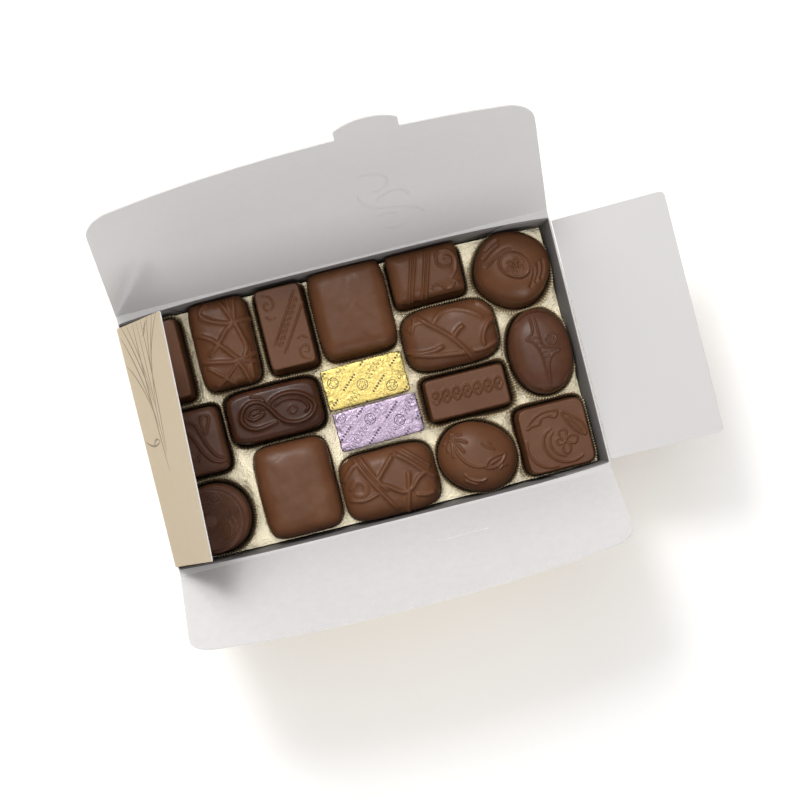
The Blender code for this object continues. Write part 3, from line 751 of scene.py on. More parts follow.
def add_relief(piece, sweet, height, base, strength, seed):
    """Push a praline's surface out along its own normals by its strokes and its lumps."""
    mesh = piece.data
    count = len(mesh.vertices)
    places = np.empty(count * 3)
    normals = np.empty(count * 3)
    mesh.vertices.foreach_get("co", places)
    mesh.vertex_normals.foreach_get("vector", normals)
    places, normals = places.reshape(-1, 3) / MM, normals.reshape(-1, 3)
    flat = places[:, :2]
    relief = np.zeros(count)
    pressed = np.zeros(count)
    for width, tall, points in STROKES.get(sweet.name, ()):
        raised = stroke_height(flat, width, tall, points)
        if tall > 0:
            relief = np.maximum(relief, raised)
        else:
            pressed = np.minimum(pressed, raised)
    relief += pressed
    if sweet.name in EXTRA_RELIEF:
        extra = EXTRA_RELIEF[sweet.name](flat)
        relief = np.where(np.abs(extra) > np.abs(relief), extra, relief)
    share = (places[:, 2] - base) / height
    fade = np.clip((share - 0.3) / 0.4, 0, 1)
    push = relief * strength * fade + lump_height(places, sweet.lump, seed) * np.clip(share * 5, 0, 1)
    places += normals * push[:, None]
    keep_inside_walls(places, *PRALINE_CLEARANCE)
    mesh.vertices.foreach_set("co", (places * MM).ravel())
    mesh.update()


def superellipse(half_x, half_y, power, count=900):
    """Closed outline of a superellipse, evenly spaced."""
    angle = np.linspace(0, 2 * math.pi, 4001)
    c, s = np.cos(angle), np.sin(angle)
    x = half_x * np.sign(c) * np.abs(c) ** (2 / power)
    y = half_y * np.sign(s) * np.abs(s) ** (2 / power)
    run = np.concatenate([[0], np.cumsum(np.hypot(np.diff(x), np.diff(y)))])
    even = np.linspace(0, run[-1], count, endpoint=False)
    return np.column_stack([np.interp(even, run, x), np.interp(even, run, y)]), run[-1]


# ---------------------------------------------------------------- nodes


def put(tree, value, socket):
    """Set a socket's value, or link another socket to it."""
    if isinstance(value, bpy.types.NodeSocket):
        tree.links.new(value, socket)
    else:
        socket.default_value = value


def math_node(tree, operation, *values, clamp=False):
    """A Math node with its values put in."""
    made = tree.nodes.new("ShaderNodeMath")
    made.operation = operation
    made.use_clamp = clamp
    for value, socket in zip(values, made.inputs):
        put(tree, value, socket)
    return made.outputs[0]


def vector_node(tree, operation, *values, result="Vector"):
    """A Vector Math node with its values put in."""
    made = tree.nodes.new("ShaderNodeVectorMath")
    made.operation = operation
    for value, socket in zip(values, made.inputs):
        put(tree, value, socket)
    return made.outputs[result]


def noise_node(tree, vector, scale, detail=2.0, roughness=0.5):
    """Noise between 0 and 1; scale is in features per metre."""
    made = tree.nodes.new("ShaderNodeTexNoise")
    made.inputs["Scale"].default_value = scale
    made.inputs["Detail"].default_value = detail
    made.inputs["Roughness"].default_value = roughness
    put(tree, vector, made.inputs["Vector"])
    return made.outputs[0]


def range_node(tree, value, from_low, from_high, to_low, to_high):
    """A clamped Map Range node."""
    made = tree.nodes.new("ShaderNodeMapRange")
    for given, name in ((value, "Value"), (from_low, "From Min"), (from_high, "From Max"),
                        (to_low, "To Min"), (to_high, "To Max")):
        put(tree, given, made.inputs[name])
    return made.outputs["Result"]


def mix_node(tree, factor, first, second):
    """A colour mix."""
    made = tree.nodes.new("ShaderNodeMix")
    made.data_type = "RGBA"
    put(tree, factor, made.inputs[0])
    put(tree, first, made.inputs[6])
    put(tree, second, made.inputs[7])
    return made.outputs[2]


def bump_node(tree, height, distance, strength=1.0):
    """A Bump node over a height between 0 and 1."""
    made = tree.nodes.new("ShaderNodeBump")
    made.inputs["Strength"].default_value = strength
    made.inputs["Distance"].default_value = distance
    put(tree, height, made.inputs["Height"])
    return made.outputs["Normal"]


def rgba(colour):
    """A colour with full alpha."""
    return (*colour, 1.0)


def new_group(name, inputs, outputs):
    """A shader node group, its input sockets by name, and its output node's sockets."""
    tree = bpy.data.node_groups.new(name, "ShaderNodeTree")
    for socket_name, kind in inputs:
        tree.interface.new_socket(socket_name, in_out="INPUT", socket_type=kind)
    for socket_name, kind in outputs:
        tree.interface.new_socket(socket_name, in_out="OUTPUT", socket_type=kind)
    start = tree.nodes.new("NodeGroupInput")
    end = tree.nodes.new("NodeGroupOutput")
    return tree, start.outputs, end.inputs


def use_group(tree, group, **values):
    """Place a node group with its own values; an underscore stands for a space."""
    made = tree.nodes.new("ShaderNodeGroup")
    made.node_tree = group
    for name, value in values.items():
        put(tree, value, made.inputs[name.replace("_", " ")])
    return made.outputs


VECTOR, COLOUR, FLOAT = "NodeSocketVector", "NodeSocketColor", "NodeSocketFloat"


def chocolate_group():
    """Uneven tint, gloss and fine grain of set chocolate."""
    found = bpy.data.node_groups.get("Chocolate surface")
    if found:
        return found
    tree, given, made = new_group(
        "Chocolate surface",
        (("Vector", VECTOR), ("Tint", COLOUR), ("Shade", COLOUR), ("Gloss", FLOAT)),
        (("Colour", COLOUR), ("Roughness", FLOAT), ("Height", FLOAT)))
    patches = noise_node(tree, given["Vector"], 95.0, 3.0, 0.55)
    specks = noise_node(tree, given["Vector"], 900.0, 2.0, 0.6)
    blend = math_node(tree, "ADD", math_node(tree, "MULTIPLY", patches, 0.75),
                      math_node(tree, "MULTIPLY", specks, 0.25))
    share = range_node(tree, blend, 0.38, 0.62, 0.0, 1.0)
    put(tree, mix_node(tree, share, given["Shade"], given["Tint"]), made["Colour"])
    smear = noise_node(tree, given["Vector"], 420.0, 3.0, 0.6)
    swing = range_node(tree, smear, 0.3, 0.7, -0.05, 0.08)
    put(tree, math_node(tree, "ADD", given["Gloss"], swing), made["Roughness"])
    grain = noise_node(tree, given["Vector"], 1700.0, 3.0, 0.6)
    slow = noise_node(tree, given["Vector"], 260.0, 2.0, 0.5)
    put(tree, math_node(tree, "ADD", math_node(tree, "MULTIPLY", grain, 0.35), slow), made["Height"])
    return tree


def card_group():
    """Fibre, tint and tooth of card."""
    found = bpy.data.node_groups.get("Card fibre")
    if found:
        return found
    tree, given, made = new_group(
        "Card fibre",
        (("Vector", VECTOR), ("Tint", COLOUR), ("Shade", COLOUR)),
        (("Colour", COLOUR), ("Roughness", FLOAT), ("Height", FLOAT)))
    cloud = noise_node(tree, given["Vector"], 260.0, 4.0, 0.6)
    fibre = noise_node(tree, given["Vector"], 2600.0, 4.0, 0.65)
    share = range_node(tree, math_node(tree, "ADD", cloud, fibre), 0.5, 1.5, 0.0, 1.0)
    put(tree, mix_node(tree, share, given["Shade"], given["Tint"]), made["Colour"])
    put(tree, range_node(tree, fibre, 0.3, 0.7, 0.5, 0.66), made["Roughness"])
    put(tree, math_node(tree, "ADD", fibre, math_node(tree, "MULTIPLY", cloud, 2.0)), made["Height"])
    return tree


def stroke_group():
    """Mask of one bowed line that swells in the middle and tapers to both ends."""
    found = bpy.data.node_groups.get("Drawn line")
    if found:
        return found
    tree, given, made = new_group(
        "Drawn line",
        (("Vector", VECTOR), ("Start", VECTOR), ("End", VECTOR), ("Bow", FLOAT), ("Width", FLOAT)),
        (("Mask", FLOAT),))
    span = vector_node(tree, "SUBTRACT", given["End"], given["Start"])
    from_start = vector_node(tree, "SUBTRACT", given["Vector"], given["Start"])
    length = vector_node(tree, "LENGTH", span, result="Value")
    run = vector_node(tree, "DOT_PRODUCT", from_start, span, result="Value")
    share = math_node(tree, "DIVIDE", run, math_node(tree, "MULTIPLY", length, length))
    across = vector_node(tree, "CROSS_PRODUCT", span, from_start)
    upright = vector_node(tree, "DOT_PRODUCT", across, (0.0, 0.0, 1.0), result="Value")
    side = math_node(tree, "DIVIDE", upright, length)
    rest = math_node(tree, "SUBTRACT", 1.0, share)
    arch = math_node(tree, "MULTIPLY", math_node(tree, "MULTIPLY", share, rest), 4.0, clamp=True)
    offset = math_node(tree, "SUBTRACT", side, math_node(tree, "MULTIPLY", given["Bow"], arch))
    gap = math_node(tree, "ABSOLUTE", offset)
    half = math_node(tree, "MULTIPLY", given["Width"], math_node(tree, "POWER", arch, 0.6))
    edge = math_node(tree, "ADD", half, 0.00012)
    stroke = range_node(tree, gap, half, edge, 1.0, 0.0)
    put(tree, math_node(tree, "MULTIPLY", stroke, math_node(tree, "GREATER_THAN", arch, 0.001)),
        made["Mask"])
    return tree


def drawn_lines(tree, vector, lines):
    """Greatest mask of several drawn lines, given in millimetres."""
    total = None
    for start, end, bow, width in lines:
        mask = use_group(
            tree, stroke_group(), Vector=vector, Start=(start[0] * MM, start[1] * MM, 0.0),
            End=(end[0] * MM, end[1] * MM, 0.0), Bow=bow * MM, Width=width * MM / 2)["Mask"]
        total = mask if total is None else math_node(tree, "MAXIMUM", total, mask)
    return total


def foil_group():
    """Printed foil: slanting rows of rings, waves and lozenges, and fine crinkles."""
    found = bpy.data.node_groups.get("Printed foil")
    if found:
        return found
    tree, given, made = new_group(
        "Printed foil",
        (("Vector", VECTOR), ("Foil", COLOUR), ("Ink", COLOUR)),
        (("Colour", COLOUR), ("Metallic", FLOAT), ("Roughness", FLOAT), ("Height", FLOAT)))
    turned = tree.nodes.new("ShaderNodeVectorRotate")
    turned.rotation_type = "Z_AXIS"
    turned.inputs["Angle"].default_value = math.radians(-43)
    put(tree, given["Vector"], turned.inputs["Vector"])
    parts = tree.nodes.new("ShaderNodeSeparateXYZ")
    put(tree, turned.outputs["Vector"], parts.inputs["Vector"])
    period = 0.0104
    row = math_node(tree, "DIVIDE", parts.outputs["Y"], period)
    number = math_node(tree, "FLOOR", row)
    along = math_node(tree, "ADD", parts.outputs["X"], math_node(tree, "MULTIPLY", number, 0.0063))
    depth = math_node(tree, "MULTIPLY", math_node(tree, "SUBTRACT", row, number), period)
    # Rings with a dot in them, set in every row's widest band.
    cell = math_node(tree, "FLOORED_MODULO", along, 0.0165)
    ring_x = math_node(tree, "SUBTRACT", cell, 0.003)
    ring_y = math_node(tree, "SUBTRACT", depth, 0.0029)
    radius = math_node(tree, "SQRT", math_node(
        tree, "ADD", math_node(tree, "POWER", math_node(tree, "ABSOLUTE", ring_x), 2.0),
        math_node(tree, "POWER", math_node(tree, "ABSOLUTE", ring_y), 2.0)))
    outer = math_node(tree, "COMPARE", radius, 0.0022, 0.00017)
    angle = math_node(tree, "ARCTAN2", ring_y, ring_x)
    petal = math_node(tree, "MULTIPLY", math_node(tree, "COSINE", math_node(
        tree, "MULTIPLY", angle, 5.0)), 0.0004)
    flower = math_node(tree, "COMPARE", math_node(tree, "SUBTRACT", radius, petal), 0.00115, 0.00016)
    rings = math_node(tree, "MAXIMUM", outer, flower)
    # A zigzag line runs between the rings.
    free = math_node(tree, "MULTIPLY", math_node(tree, "GREATER_THAN", cell, 0.0062),
                     math_node(tree, "LESS_THAN", cell, 0.0158))
    wave = math_node(tree, "SUBTRACT", math_node(tree, "PINGPONG", cell, 0.00085), 0.000425)
    zigzag_gap = math_node(tree, "SUBTRACT", ring_y, math_node(tree, "MULTIPLY", wave, 3.4))
    zigzag = math_node(tree, "MULTIPLY", math_node(tree, "COMPARE", zigzag_gap, 0.0, 0.00032), free)
    # Short bold lozenges fill the narrow band between two rows.
    beat = math_node(tree, "SUBTRACT", math_node(tree, "FLOORED_MODULO", along, 0.00125), 0.000625)
    lift = math_node(tree, "SUBTRACT", depth, 0.0079)
    lozenge_size = math_node(tree, "ADD", math_node(tree, "ABSOLUTE", beat),
                             math_node(tree, "MULTIPLY", math_node(tree, "ABSOLUTE", lift), 0.8))
    group_cell = math_node(tree, "FLOORED_MODULO", math_node(tree, "ADD", along, 0.004), 0.0125)
    lozenges = math_node(tree, "MULTIPLY", math_node(tree, "LESS_THAN", lozenge_size, 0.00056),
                         math_node(tree, "LESS_THAN", group_cell, 0.0088))
    ink = math_node(tree, "MAXIMUM", math_node(tree, "MAXIMUM", rings, zigzag), lozenges)
    worn = noise_node(tree, given["Vector"], 1500.0, 2.0, 0.6)
    ink = math_node(tree, "MULTIPLY", ink, range_node(tree, worn, 0.3, 0.5, 0.72, 0.97))
    put(tree, mix_node(tree, ink, given["Foil"], given["Ink"]), made["Colour"])
    put(tree, range_node(tree, ink, 0.0, 1.0, 0.74, 0.2), made["Metallic"])
    crease = noise_node(tree, given["Vector"], 330.0, 4.0, 0.62)
    fold = math_node(tree, "ABSOLUTE", math_node(tree, "SUBTRACT", crease, 0.5))
    tooth = noise_node(tree, given["Vector"], 1400.0, 3.0, 0.6)
    put(tree, math_node(tree, "ADD", fold, math_node(tree, "MULTIPLY", tooth, 0.12)), made["Height"])
    put(tree, range_node(tree, tooth, 0.3, 0.7, 0.30, 0.44), made["Roughness"])
    return tree


def new_material(name):
    """A material, its tree, its Principled shader and its object coordinates."""
    made = bpy.data.materials.new(name)
    made.use_nodes = True
    tree = made.node_tree
    shader = tree.nodes["Principled BSDF"]
    coordinates = tree.nodes.new("ShaderNodeTexCoord")
    return made, tree, shader, coordinates.outputs["Object"]


def chocolate_material(name, tint, shade, gloss, shine):
    """Satin chocolate."""
    found = bpy.data.materials.get(name)
    if found:
        return found
    made, tree, shader, place = new_material(name)
    surface = use_group(tree, chocolate_group(), Vector=place, Tint=rgba(tint), Shade=rgba(shade),
                        Gloss=gloss)
    put(tree, surface["Colour"], shader.inputs["Base Color"])
    put(tree, surface["Roughness"], shader.inputs["Roughness"])
    put(tree, bump_node(tree, surface["Height"], 0.00006), shader.inputs["Normal"])
    shader.inputs["IOR"].default_value = 1.46
    shader.inputs["Specular IOR Level"].default_value = shine
    return made


def card_material(name, tint, shade, lines=(), ink=None, pressed=False):
    """Card, plain, printed with thin lines, or pressed along them."""
    found = bpy.data.materials.get(name)
    if found:
        return found
    made, tree, shader, place = new_material(name)
    surface = use_group(tree, card_group(), Vector=place, Tint=rgba(tint), Shade=rgba(shade))
    colour, height = surface["Colour"], surface["Height"]
    if lines:
        plane = tree.nodes.new("ShaderNodeUVMap")
        plane.uv_map = "card_plane"
        mask = drawn_lines(tree, plane.outputs["UV"], lines)
        if pressed:
            height = math_node(tree, "ADD", height, math_node(tree, "MULTIPLY", mask, 16.0))
        else:
            strength = math_node(tree, "MULTIPLY", mask, 0.92)
            colour = mix_node(tree, strength, colour, rgba(ink))
    put(tree, colour, shader.inputs["Base Color"])
    put(tree, surface["Roughness"], shader.inputs["Roughness"])
    put(tree, bump_node(tree, height, 0.00001), shader.inputs["Normal"])
    shader.inputs["Specular IOR Level"].default_value = 0.3
    return made


def sheet_material(tint):
    """Satin cream sheet, softly creased."""
    made, tree, shader, place = new_material("pearly_cream_sheet")
    cloud = noise_node(tree, place, 130.0, 4.0, 0.6)
    shade = scaled(tint, 0.86)
    share = range_node(tree, cloud, 0.35, 0.62, 0.0, 1.0)
    put(tree, mix_node(tree, share, rgba(shade), rgba(tint)), shader.inputs["Base Color"])
    tooth = noise_node(tree, place, 1100.0, 3.0, 0.6)
    put(tree, range_node(tree, tooth, 0.3, 0.7, 0.15, 0.26), shader.inputs["Roughness"])
    height = math_node(tree, "ADD", math_node(tree, "MULTIPLY", cloud, 3.0), tooth)
    put(tree, bump_node(tree, height, 0.00015), shader.inputs["Normal"])
    shader.inputs["Metallic"].default_value = 0.58
    return made


def cup_material(crest, fold):
    """Dark brown glassine paper with a painted highlight along the crests of its pleats, strongest at
    the rim.
    """
    made, tree, shader, place = new_material("pleated_cup_paper")
    attribute = tree.nodes.new("ShaderNodeAttribute")
    attribute.attribute_name = "crest"
    speck = noise_node(tree, place, 900.0, 2.0, 0.6)
    # Painted highlight: the stored crest mask, broken up by specks, lightens the paper from the fold
    # colour towards the crest colour.
    share = math_node(tree, "MULTIPLY", attribute.outputs["Fac"],
                      range_node(tree, speck, 0.3, 0.7, 0.65, 1.0), clamp=True)
    put(tree, mix_node(tree, share, rgba(fold), rgba(crest)), shader.inputs["Base Color"])
    put(tree, range_node(tree, speck, 0.3, 0.7, 0.28, 0.5), shader.inputs["Roughness"])
    put(tree, bump_node(tree, speck, 0.00004), shader.inputs["Normal"])
    shader.inputs["Coat Weight"].default_value = 0.3
    shader.inputs["Coat Roughness"].default_value = 0.3
    return made


def foil_material(name, foil, ink):
    """Printed foil over a block of chocolate."""
    made, tree, shader, place = new_material(name)
    surface = use_group(tree, foil_group(), Vector=place, Foil=rgba(foil), Ink=rgba(ink))
    put(tree, surface["Colour"], shader.inputs["Base Color"])
    put(tree, surface["Metallic"], shader.inputs["Metallic"])
    put(tree, surface["Roughness"], shader.inputs["Roughness"])
    put(tree, bump_node(tree, surface["Height"], 0.0006), shader.inputs["Normal"])
    return made


# ---------------------------------------------------------------- cups


def pleat_tree():
    """Geometry nodes that fold a cup's wall into pleats and cut its rim unevenly."""
    found = bpy.data.node_groups.get("Cup pleats")
    if found:
        return found
    tree = bpy.data.node_groups.new("Cup pleats", "GeometryNodeTree")
    for name, kind in (("Geometry", "NodeSocketGeometry"), ("Pleat depth", FLOAT),
                       ("Ragged rim", FLOAT), ("Seed", FLOAT), ("Paper", "NodeSocketMaterial")):
        tree.interface.new_socket(name, in_out="INPUT", socket_type=kind)
    tree.interface.new_socket("Geometry", in_out="OUTPUT", socket_type="NodeSocketGeometry")
    given = tree.nodes.new("NodeGroupInput").outputs
    made = tree.nodes.new("NodeGroupOutput").inputs

    def attribute(name):
        node = tree.nodes.new("GeometryNodeInputNamedAttribute")
        node.data_type = "FLOAT"
        node.inputs["Name"].default_value = name
        return next(socket for socket in node.outputs if socket.enabled)

    rise = attribute("rise")
    phase = attribute("phase")
    crest = math_node(tree, "PINGPONG", phase, 1.0)
    wander = tree.nodes.new("ShaderNodeTexNoise")
    wander.noise_dimensions = "1D"
    wander.inputs["Scale"].default_value = 0.21
    put(tree, math_node(tree, "ADD", phase, given["Seed"]), wander.inputs["W"])
    uneven = math_node(tree, "SUBTRACT", wander.outputs[0], 0.5)
    swing = math_node(tree, "SUBTRACT", crest, 0.5)
    reach = math_node(tree, "MULTIPLY", math_node(tree, "MULTIPLY", swing, 2.0),
                      math_node(tree, "ADD", 1.0, uneven))
    depth = math_node(tree, "MULTIPLY", reach,
                      math_node(tree, "MULTIPLY", given["Pleat depth"], rise))
    normal = tree.nodes.new("GeometryNodeInputNormal")
    outward = tree.nodes.new("ShaderNodeVectorMath")
    outward.operation = "SCALE"
    put(tree, normal.outputs[0], outward.inputs[0])
    put(tree, depth, outward.inputs["Scale"])
    high = math_node(tree, "POWER", rise, 3.0)
    lift = math_node(tree, "MULTIPLY", math_node(tree, "MULTIPLY", uneven, given["Ragged rim"]), high)
    upward = tree.nodes.new("ShaderNodeCombineXYZ")
    put(tree, math_node(tree, "MULTIPLY", lift, 3.0), upward.inputs["Z"])
    shift = vector_node(tree, "ADD", outward.outputs[0], upward.outputs[0])
    move = tree.nodes.new("GeometryNodeSetPosition")
    put(tree, given["Geometry"], move.inputs["Geometry"])
    put(tree, shift, move.inputs["Offset"])
    # Store the mask of the painted highlight: the pleats' crests, fading out from the rim towards the
    # base.
    keep = tree.nodes.new("GeometryNodeStoreNamedAttribute")
    keep.data_type = "FLOAT"
    keep.domain = "POINT"
    keep.inputs["Name"].default_value = "crest"
    put(tree, move.outputs[0], keep.inputs["Geometry"])
    value = next(socket for socket in keep.inputs if socket.name == "Value" and socket.enabled)
    put(tree, math_node(tree, "MULTIPLY", crest, rise), value)
    real = tree.nodes.new("GeometryNodeRealizeInstances")
    put(tree, keep.outputs[0], real.inputs[0])
    paint = tree.nodes.new("GeometryNodeSetMaterial")
    put(tree, real.outputs[0], paint.inputs["Geometry"])
    put(tree, given["Paper"], paint.inputs["Material"])
    put(tree, paint.outputs[0], made["Geometry"])
    return tree


def modifier_value(modifier, name, value):
    """Set a geometry-nodes input by its socket's identifier."""
    for item in modifier.node_group.interface.items_tree:
        if item.item_type == "SOCKET" and item.in_out == "INPUT" and item.name == name:
            modifier[item.identifier] = value
            return
    raise RuntimeError(f"the pleat tree has no input named {name}")


def outline_in_box(length, width, squareness, turn, node, count=300):
    """Outline of a praline or block in box positions."""
    low, high = box_in_mm(node)
    line, _ = superellipse(length / 2, width / 2, squareness, count)
    return line @ turning(turn) + (low + high)[:2] / 2


def room_around(sweet, places):
    """How far a cup's rim may open at each place before it presses on what stands beside it."""
    room = np.full(len(places), 99.0)
    for other in SWEETS:
        if other.name != sweet.name:
            line = outline_in_box(other.length, other.width, other.squareness, other.turn, other.name)
            gap = np.linalg.norm(places[:, None] - line[None], axis=2).min(1)
            room = np.minimum(room, (gap - 0.34) / 2)
    for node, length, width, turn in (YELLOW_BLOCK, LILAC_BLOCK):
        line = outline_in_box(length, width, 26.0, turn, node)
        room = np.minimum(room, np.linalg.norm(places[:, None] - line[None], axis=2).min(1) - 0.3)
    reach_u = wall_u(SHEET_TOP) - 1.1
    station = places[:, 0] / wall_u(SHEET_TOP)
    room = np.minimum(room, reach_u - np.abs(places[:, 0]))
    room = np.minimum(room, wall_v(1, station, SHEET_TOP) - 1.5 - places[:, 1])
    return np.minimum(room, wall_v(-1, station, SHEET_TOP) - 1.5 + places[:, 1])


def make_cup(sweet, settings, paper, seed):
    """One pleated paper cup under a praline."""
    node = f"cup_{sweet.name}"
    low, high = box_in_mm(node)
    centre = (low + high)[:2] / 2
    foot = FORMS[sweet.form].foot * 0.7
    half_x, half_y = sweet.length / 2 + 0.34, sweet.width / 2 + 0.34
    squareness = min(sweet.squareness, 8.0)
    _, girth = superellipse(half_x, half_y, squareness, 12)
    count = 4 * round(girth / (settings.pitch / MM))
    spin = turning(sweet.turn)
    base_line, _ = superellipse(half_x - foot, half_y - foot, squareness, count)
    body_line, _ = superellipse(half_x, half_y, squareness, count)
    base_line, body_line = base_line @ spin + centre, body_line @ spin + centre
    across = np.roll(body_line, -1, axis=0) - np.roll(body_line, 1, axis=0)
    outward = np.column_stack([across[:, 1], -across[:, 0]])
    outward /= np.linalg.norm(outward, axis=1)[:, None]
    room = np.clip(room_around(sweet, body_line), 0.05, sweet.cup_flare)
    room = sum(np.roll(room, shift) for shift in range(-6, 7)) / 13
    rim_line = body_line + outward * room[:, None]
    bottom = low[2] + 0.08
    # Rings of the cup's wall, as (share of the height, share of the pleats' full depth).
    levels = ((0.0, 0.0), (0.02, 0.12), (0.12, 0.35), (0.3, 0.6), (0.55, 0.8), (0.8, 0.93),
              (1.0, 1.0))
    points, rise, phase = [], [], []
    for share, folded in levels:
        flare = share ** 1.9
        ring = base_line * (1 - flare) + rim_line * flare
        points.append(np.column_stack([ring, np.full(count, bottom + share * sweet.cup_rise)]))
        rise += [folded] * count
        phase += [0.5 * index for index in range(count)]
    points = np.vstack(points)
    keep_inside_walls(points, *CUP_CLEARANCE)
    faces = [tuple(range(count))[::-1]]
    for level in range(len(levels) - 1):
        faces += ring_faces(level * count, (level + 1) * count, count)
    cup = mesh_object(node + "_pleated", points, faces, ())
    for name, values in (("rise", rise), ("phase", phase)):
        attribute = cup.data.attributes.new(name, "FLOAT", "POINT")
        attribute.data.foreach_set("value", values)
    pleats = cup.modifiers.new("pleats", "NODES")
    pleats.node_group = pleat_tree()
    modifier_value(pleats, "Pleat depth", settings.depth)
    modifier_value(pleats, "Ragged rim", settings.ragged)
    modifier_value(pleats, "Seed", float(seed * 37))
    modifier_value(pleats, "Paper", paper)
    shell = cup.modifiers.new("paper", "SOLIDIFY")
    shell.thickness = settings.paper
    shell.offset = 1.0
    plain_mesh(cup)
    hand_over(cup, "box", node)
    return cup


# ---------------------------------------------------------------- card


def wall_v(side, station, height):
    """A long wall's outer face: side is 1 at the back and -1 in front."""
    corner, bow = (CORNER_BACK, BOW_BACK) if side > 0 else (CORNER_FRONT, BOW_FRONT)
    rim = corner + bow * (1.0 - np.abs(station) ** BOW_POWER)
    return BASE_HALF_WIDTH + (rim - BASE_HALF_WIDTH) * height / RIM_HEIGHT


def wall_u(height):
    """An end wall's outer face."""
    return BASE_HALF_LENGTH + (RIM_HALF_LENGTH - BASE_HALF_LENGTH) * height / RIM_HEIGHT


def wall_outline(height, inward, corner=1.1):
    """Closed outline of the four walls at one height, with rounded upright corners."""
    reach = wall_u(height) - inward
    radius = max(corner - inward, 0.35)
    station = np.linspace(-1, 1, 45) * (reach - radius) / reach
    points = []
    arc = np.linspace(0, math.pi / 2, 6)[1:-1]
    for side in (-1, 1):
        line = station * -side
        v = side * (wall_v(side, line, height) - inward)
        points += [(u, w) for u, w in zip(line * reach, v)]
        end_u, end_v = -side * (reach - radius), v[-1] - side * radius
        points += [(end_u + -side * radius * math.sin(a), end_v + side * radius * math.cos(a))
                   for a in arc]
        other = -side * (wall_v(-side, line[-1], height) - inward) + side * radius
        points += [(-side * reach, w) for w in np.linspace(end_v, other, 17)]
        points += [(end_u + -side * radius * math.cos(a), other - side * radius * math.sin(a))
                   for a in arc]
    return np.column_stack([np.array(points), np.full(len(points), height)])


def make_tray(thickness, inside, outside, edge):
    """Base and walls of the box."""
    outer_levels = (0.0, 0.4, 8.0, 18.0, 28.0, 38.0, 46.0, 51.8, RIM_HEIGHT)
    inner_levels = (RIM_HEIGHT, 51.8, 46.0, 38.0, 30.0, 18.0, 8.0, thickness)
    rings = [wall_outline(0.0, 0.35)] + [wall_outline(level, 0.0) for level in outer_levels[1:-1]]
    rings += [wall_outline(RIM_HEIGHT, 0.1), wall_outline(RIM_HEIGHT, thickness - 0.1)]
    rings += [wall_outline(level, thickness) for level in inner_levels[1:]]
    count = len(rings[0])
    faces, slots = [tuple(range(count))[::-1]], [1]
    for row in range(len(rings) - 1):
        faces += ring_faces(row * count, (row + 1) * count, count)
        slots += [1 if row < 7 else 2 if row < 10 else 0] * count
    last = (len(rings) - 1) * count
    faces.append(tuple(range(last, last + count)))
    slots.append(0)
    # Slot 0, the inner faces, takes the material passed as inside, which the tray operator gives as
    # the inner-wall card darkened to painted shade.
    tray = mesh_object("tray_card", np.vstack(rings), faces, (inside, outside, edge), sharp_angle=40)
    tray.data.polygons.foreach_set("material_index", slots)
    hand_over(tray, "box", "tray")
    return tray


def plate(points_lower, points_upper):
    """Closed plate between two grids of the same shape, given as rows of points."""
    rows, columns = points_lower.shape[:2]
    points = np.concatenate([points_lower.reshape(-1, 3), points_upper.reshape(-1, 3)])
    lift = rows * columns
    quads, border = grid_index(rows, columns)
    faces = [tuple(quad) for quad in (quads + lift).tolist()]
    faces += [tuple(quad[::-1]) for quad in quads.tolist()]
    for start, end in zip(border.tolist(), np.roll(border, -1).tolist()):
        faces.append((start, end, end + lift, start + lift))
    return points, faces


def make_tabs(thickness, length, inside):
    """The end walls' glue tabs, lying against the long walls' inner faces."""
    parts = []
    for side in (-1, 1):
        for end in (-1, 1):
            grid_face, grid_room = [], []
            for height in np.linspace(1.2, 51.3, 15):
                corner_cut = 2.5 * (1 - math.sqrt(max(0.0, 1 - (max(0.0, height - 48.8) / 2.5) ** 2)))
                reach = wall_u(height) - thickness - 0.2
                free = reach - length - 4.0 * (RIM_HEIGHT - height) / RIM_HEIGHT + corner_cut
                u = np.linspace(reach, free, 9)
                v = wall_v(side, u / wall_u(height), height) - thickness - 0.06
                z = np.full_like(u, height)
                grid_face.append(np.column_stack([u * end, v * side, z]))
                grid_room.append(np.column_stack([u * end, (v - thickness) * side, z]))
            face, room = np.array(grid_face), np.array(grid_room)
            if side * end > 0:
                face, room = face[:, ::-1], room[:, ::-1]
            parts.append(plate(face, room))
    # The tray operator passes the inner-wall card darkened to painted shade as inside.
    tabs = mesh_object("tray_glue_tabs", *joined(parts), (inside,), sharp_angle=30)
    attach(tabs, "box")
    return tabs


def make_ledges(inside):
    """Narrow strips of card that bridge the bowed rim and the straight creases of the flaps."""
    parts = []
    station = np.linspace(-0.998, 0.998, 61)

    def add_strip(rows, flipped):
        upper = np.array(rows)
        lower = upper - (0, 0, LEDGE_THICKNESS)
        parts.append(plate(lower[:, ::-1], upper[:, ::-1]) if flipped else plate(lower, upper))

    for name, side in (("back_crease", 1), ("front_crease", -1)):
        crease = abs(JOINTS[name]["pos_m"][1]) / MM - 0.22
        rim = wall_v(side, station, RIM_HEIGHT) - LEDGE_LAP
        rows = []
        for share, lift in ((0.0, 0.0), (0.5, 0.12), (1.0, 0.42)):
            v = rim + (crease - rim) * share
            z = np.full_like(station, RIM_HEIGHT + lift)
            rows.append(np.column_stack([station * RIM_HALF_LENGTH, v * side, z]))
        add_strip(rows, flipped=side < 0)
    for name, side in (("right_crease", 1), ("left_crease", -1)):
        crease = abs(JOINTS[name]["pos_m"][0]) / MM - 0.45
        line = np.linspace(-50.2, 50.2, 31)
        rows = []
        for u, lift in ((RIM_HALF_LENGTH - LEDGE_LAP, 0.0), (crease, 0.18)):
            z = np.full_like(line, RIM_HEIGHT + lift)
            rows.append(np.column_stack([np.full_like(line, u * side), line, z]))
        add_strip(rows, flipped=side > 0)
    ledges = mesh_object("tray_rim_ledges", *joined(parts), (inside,), sharp_angle=40)
    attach(ledges, "box")
    return ledges


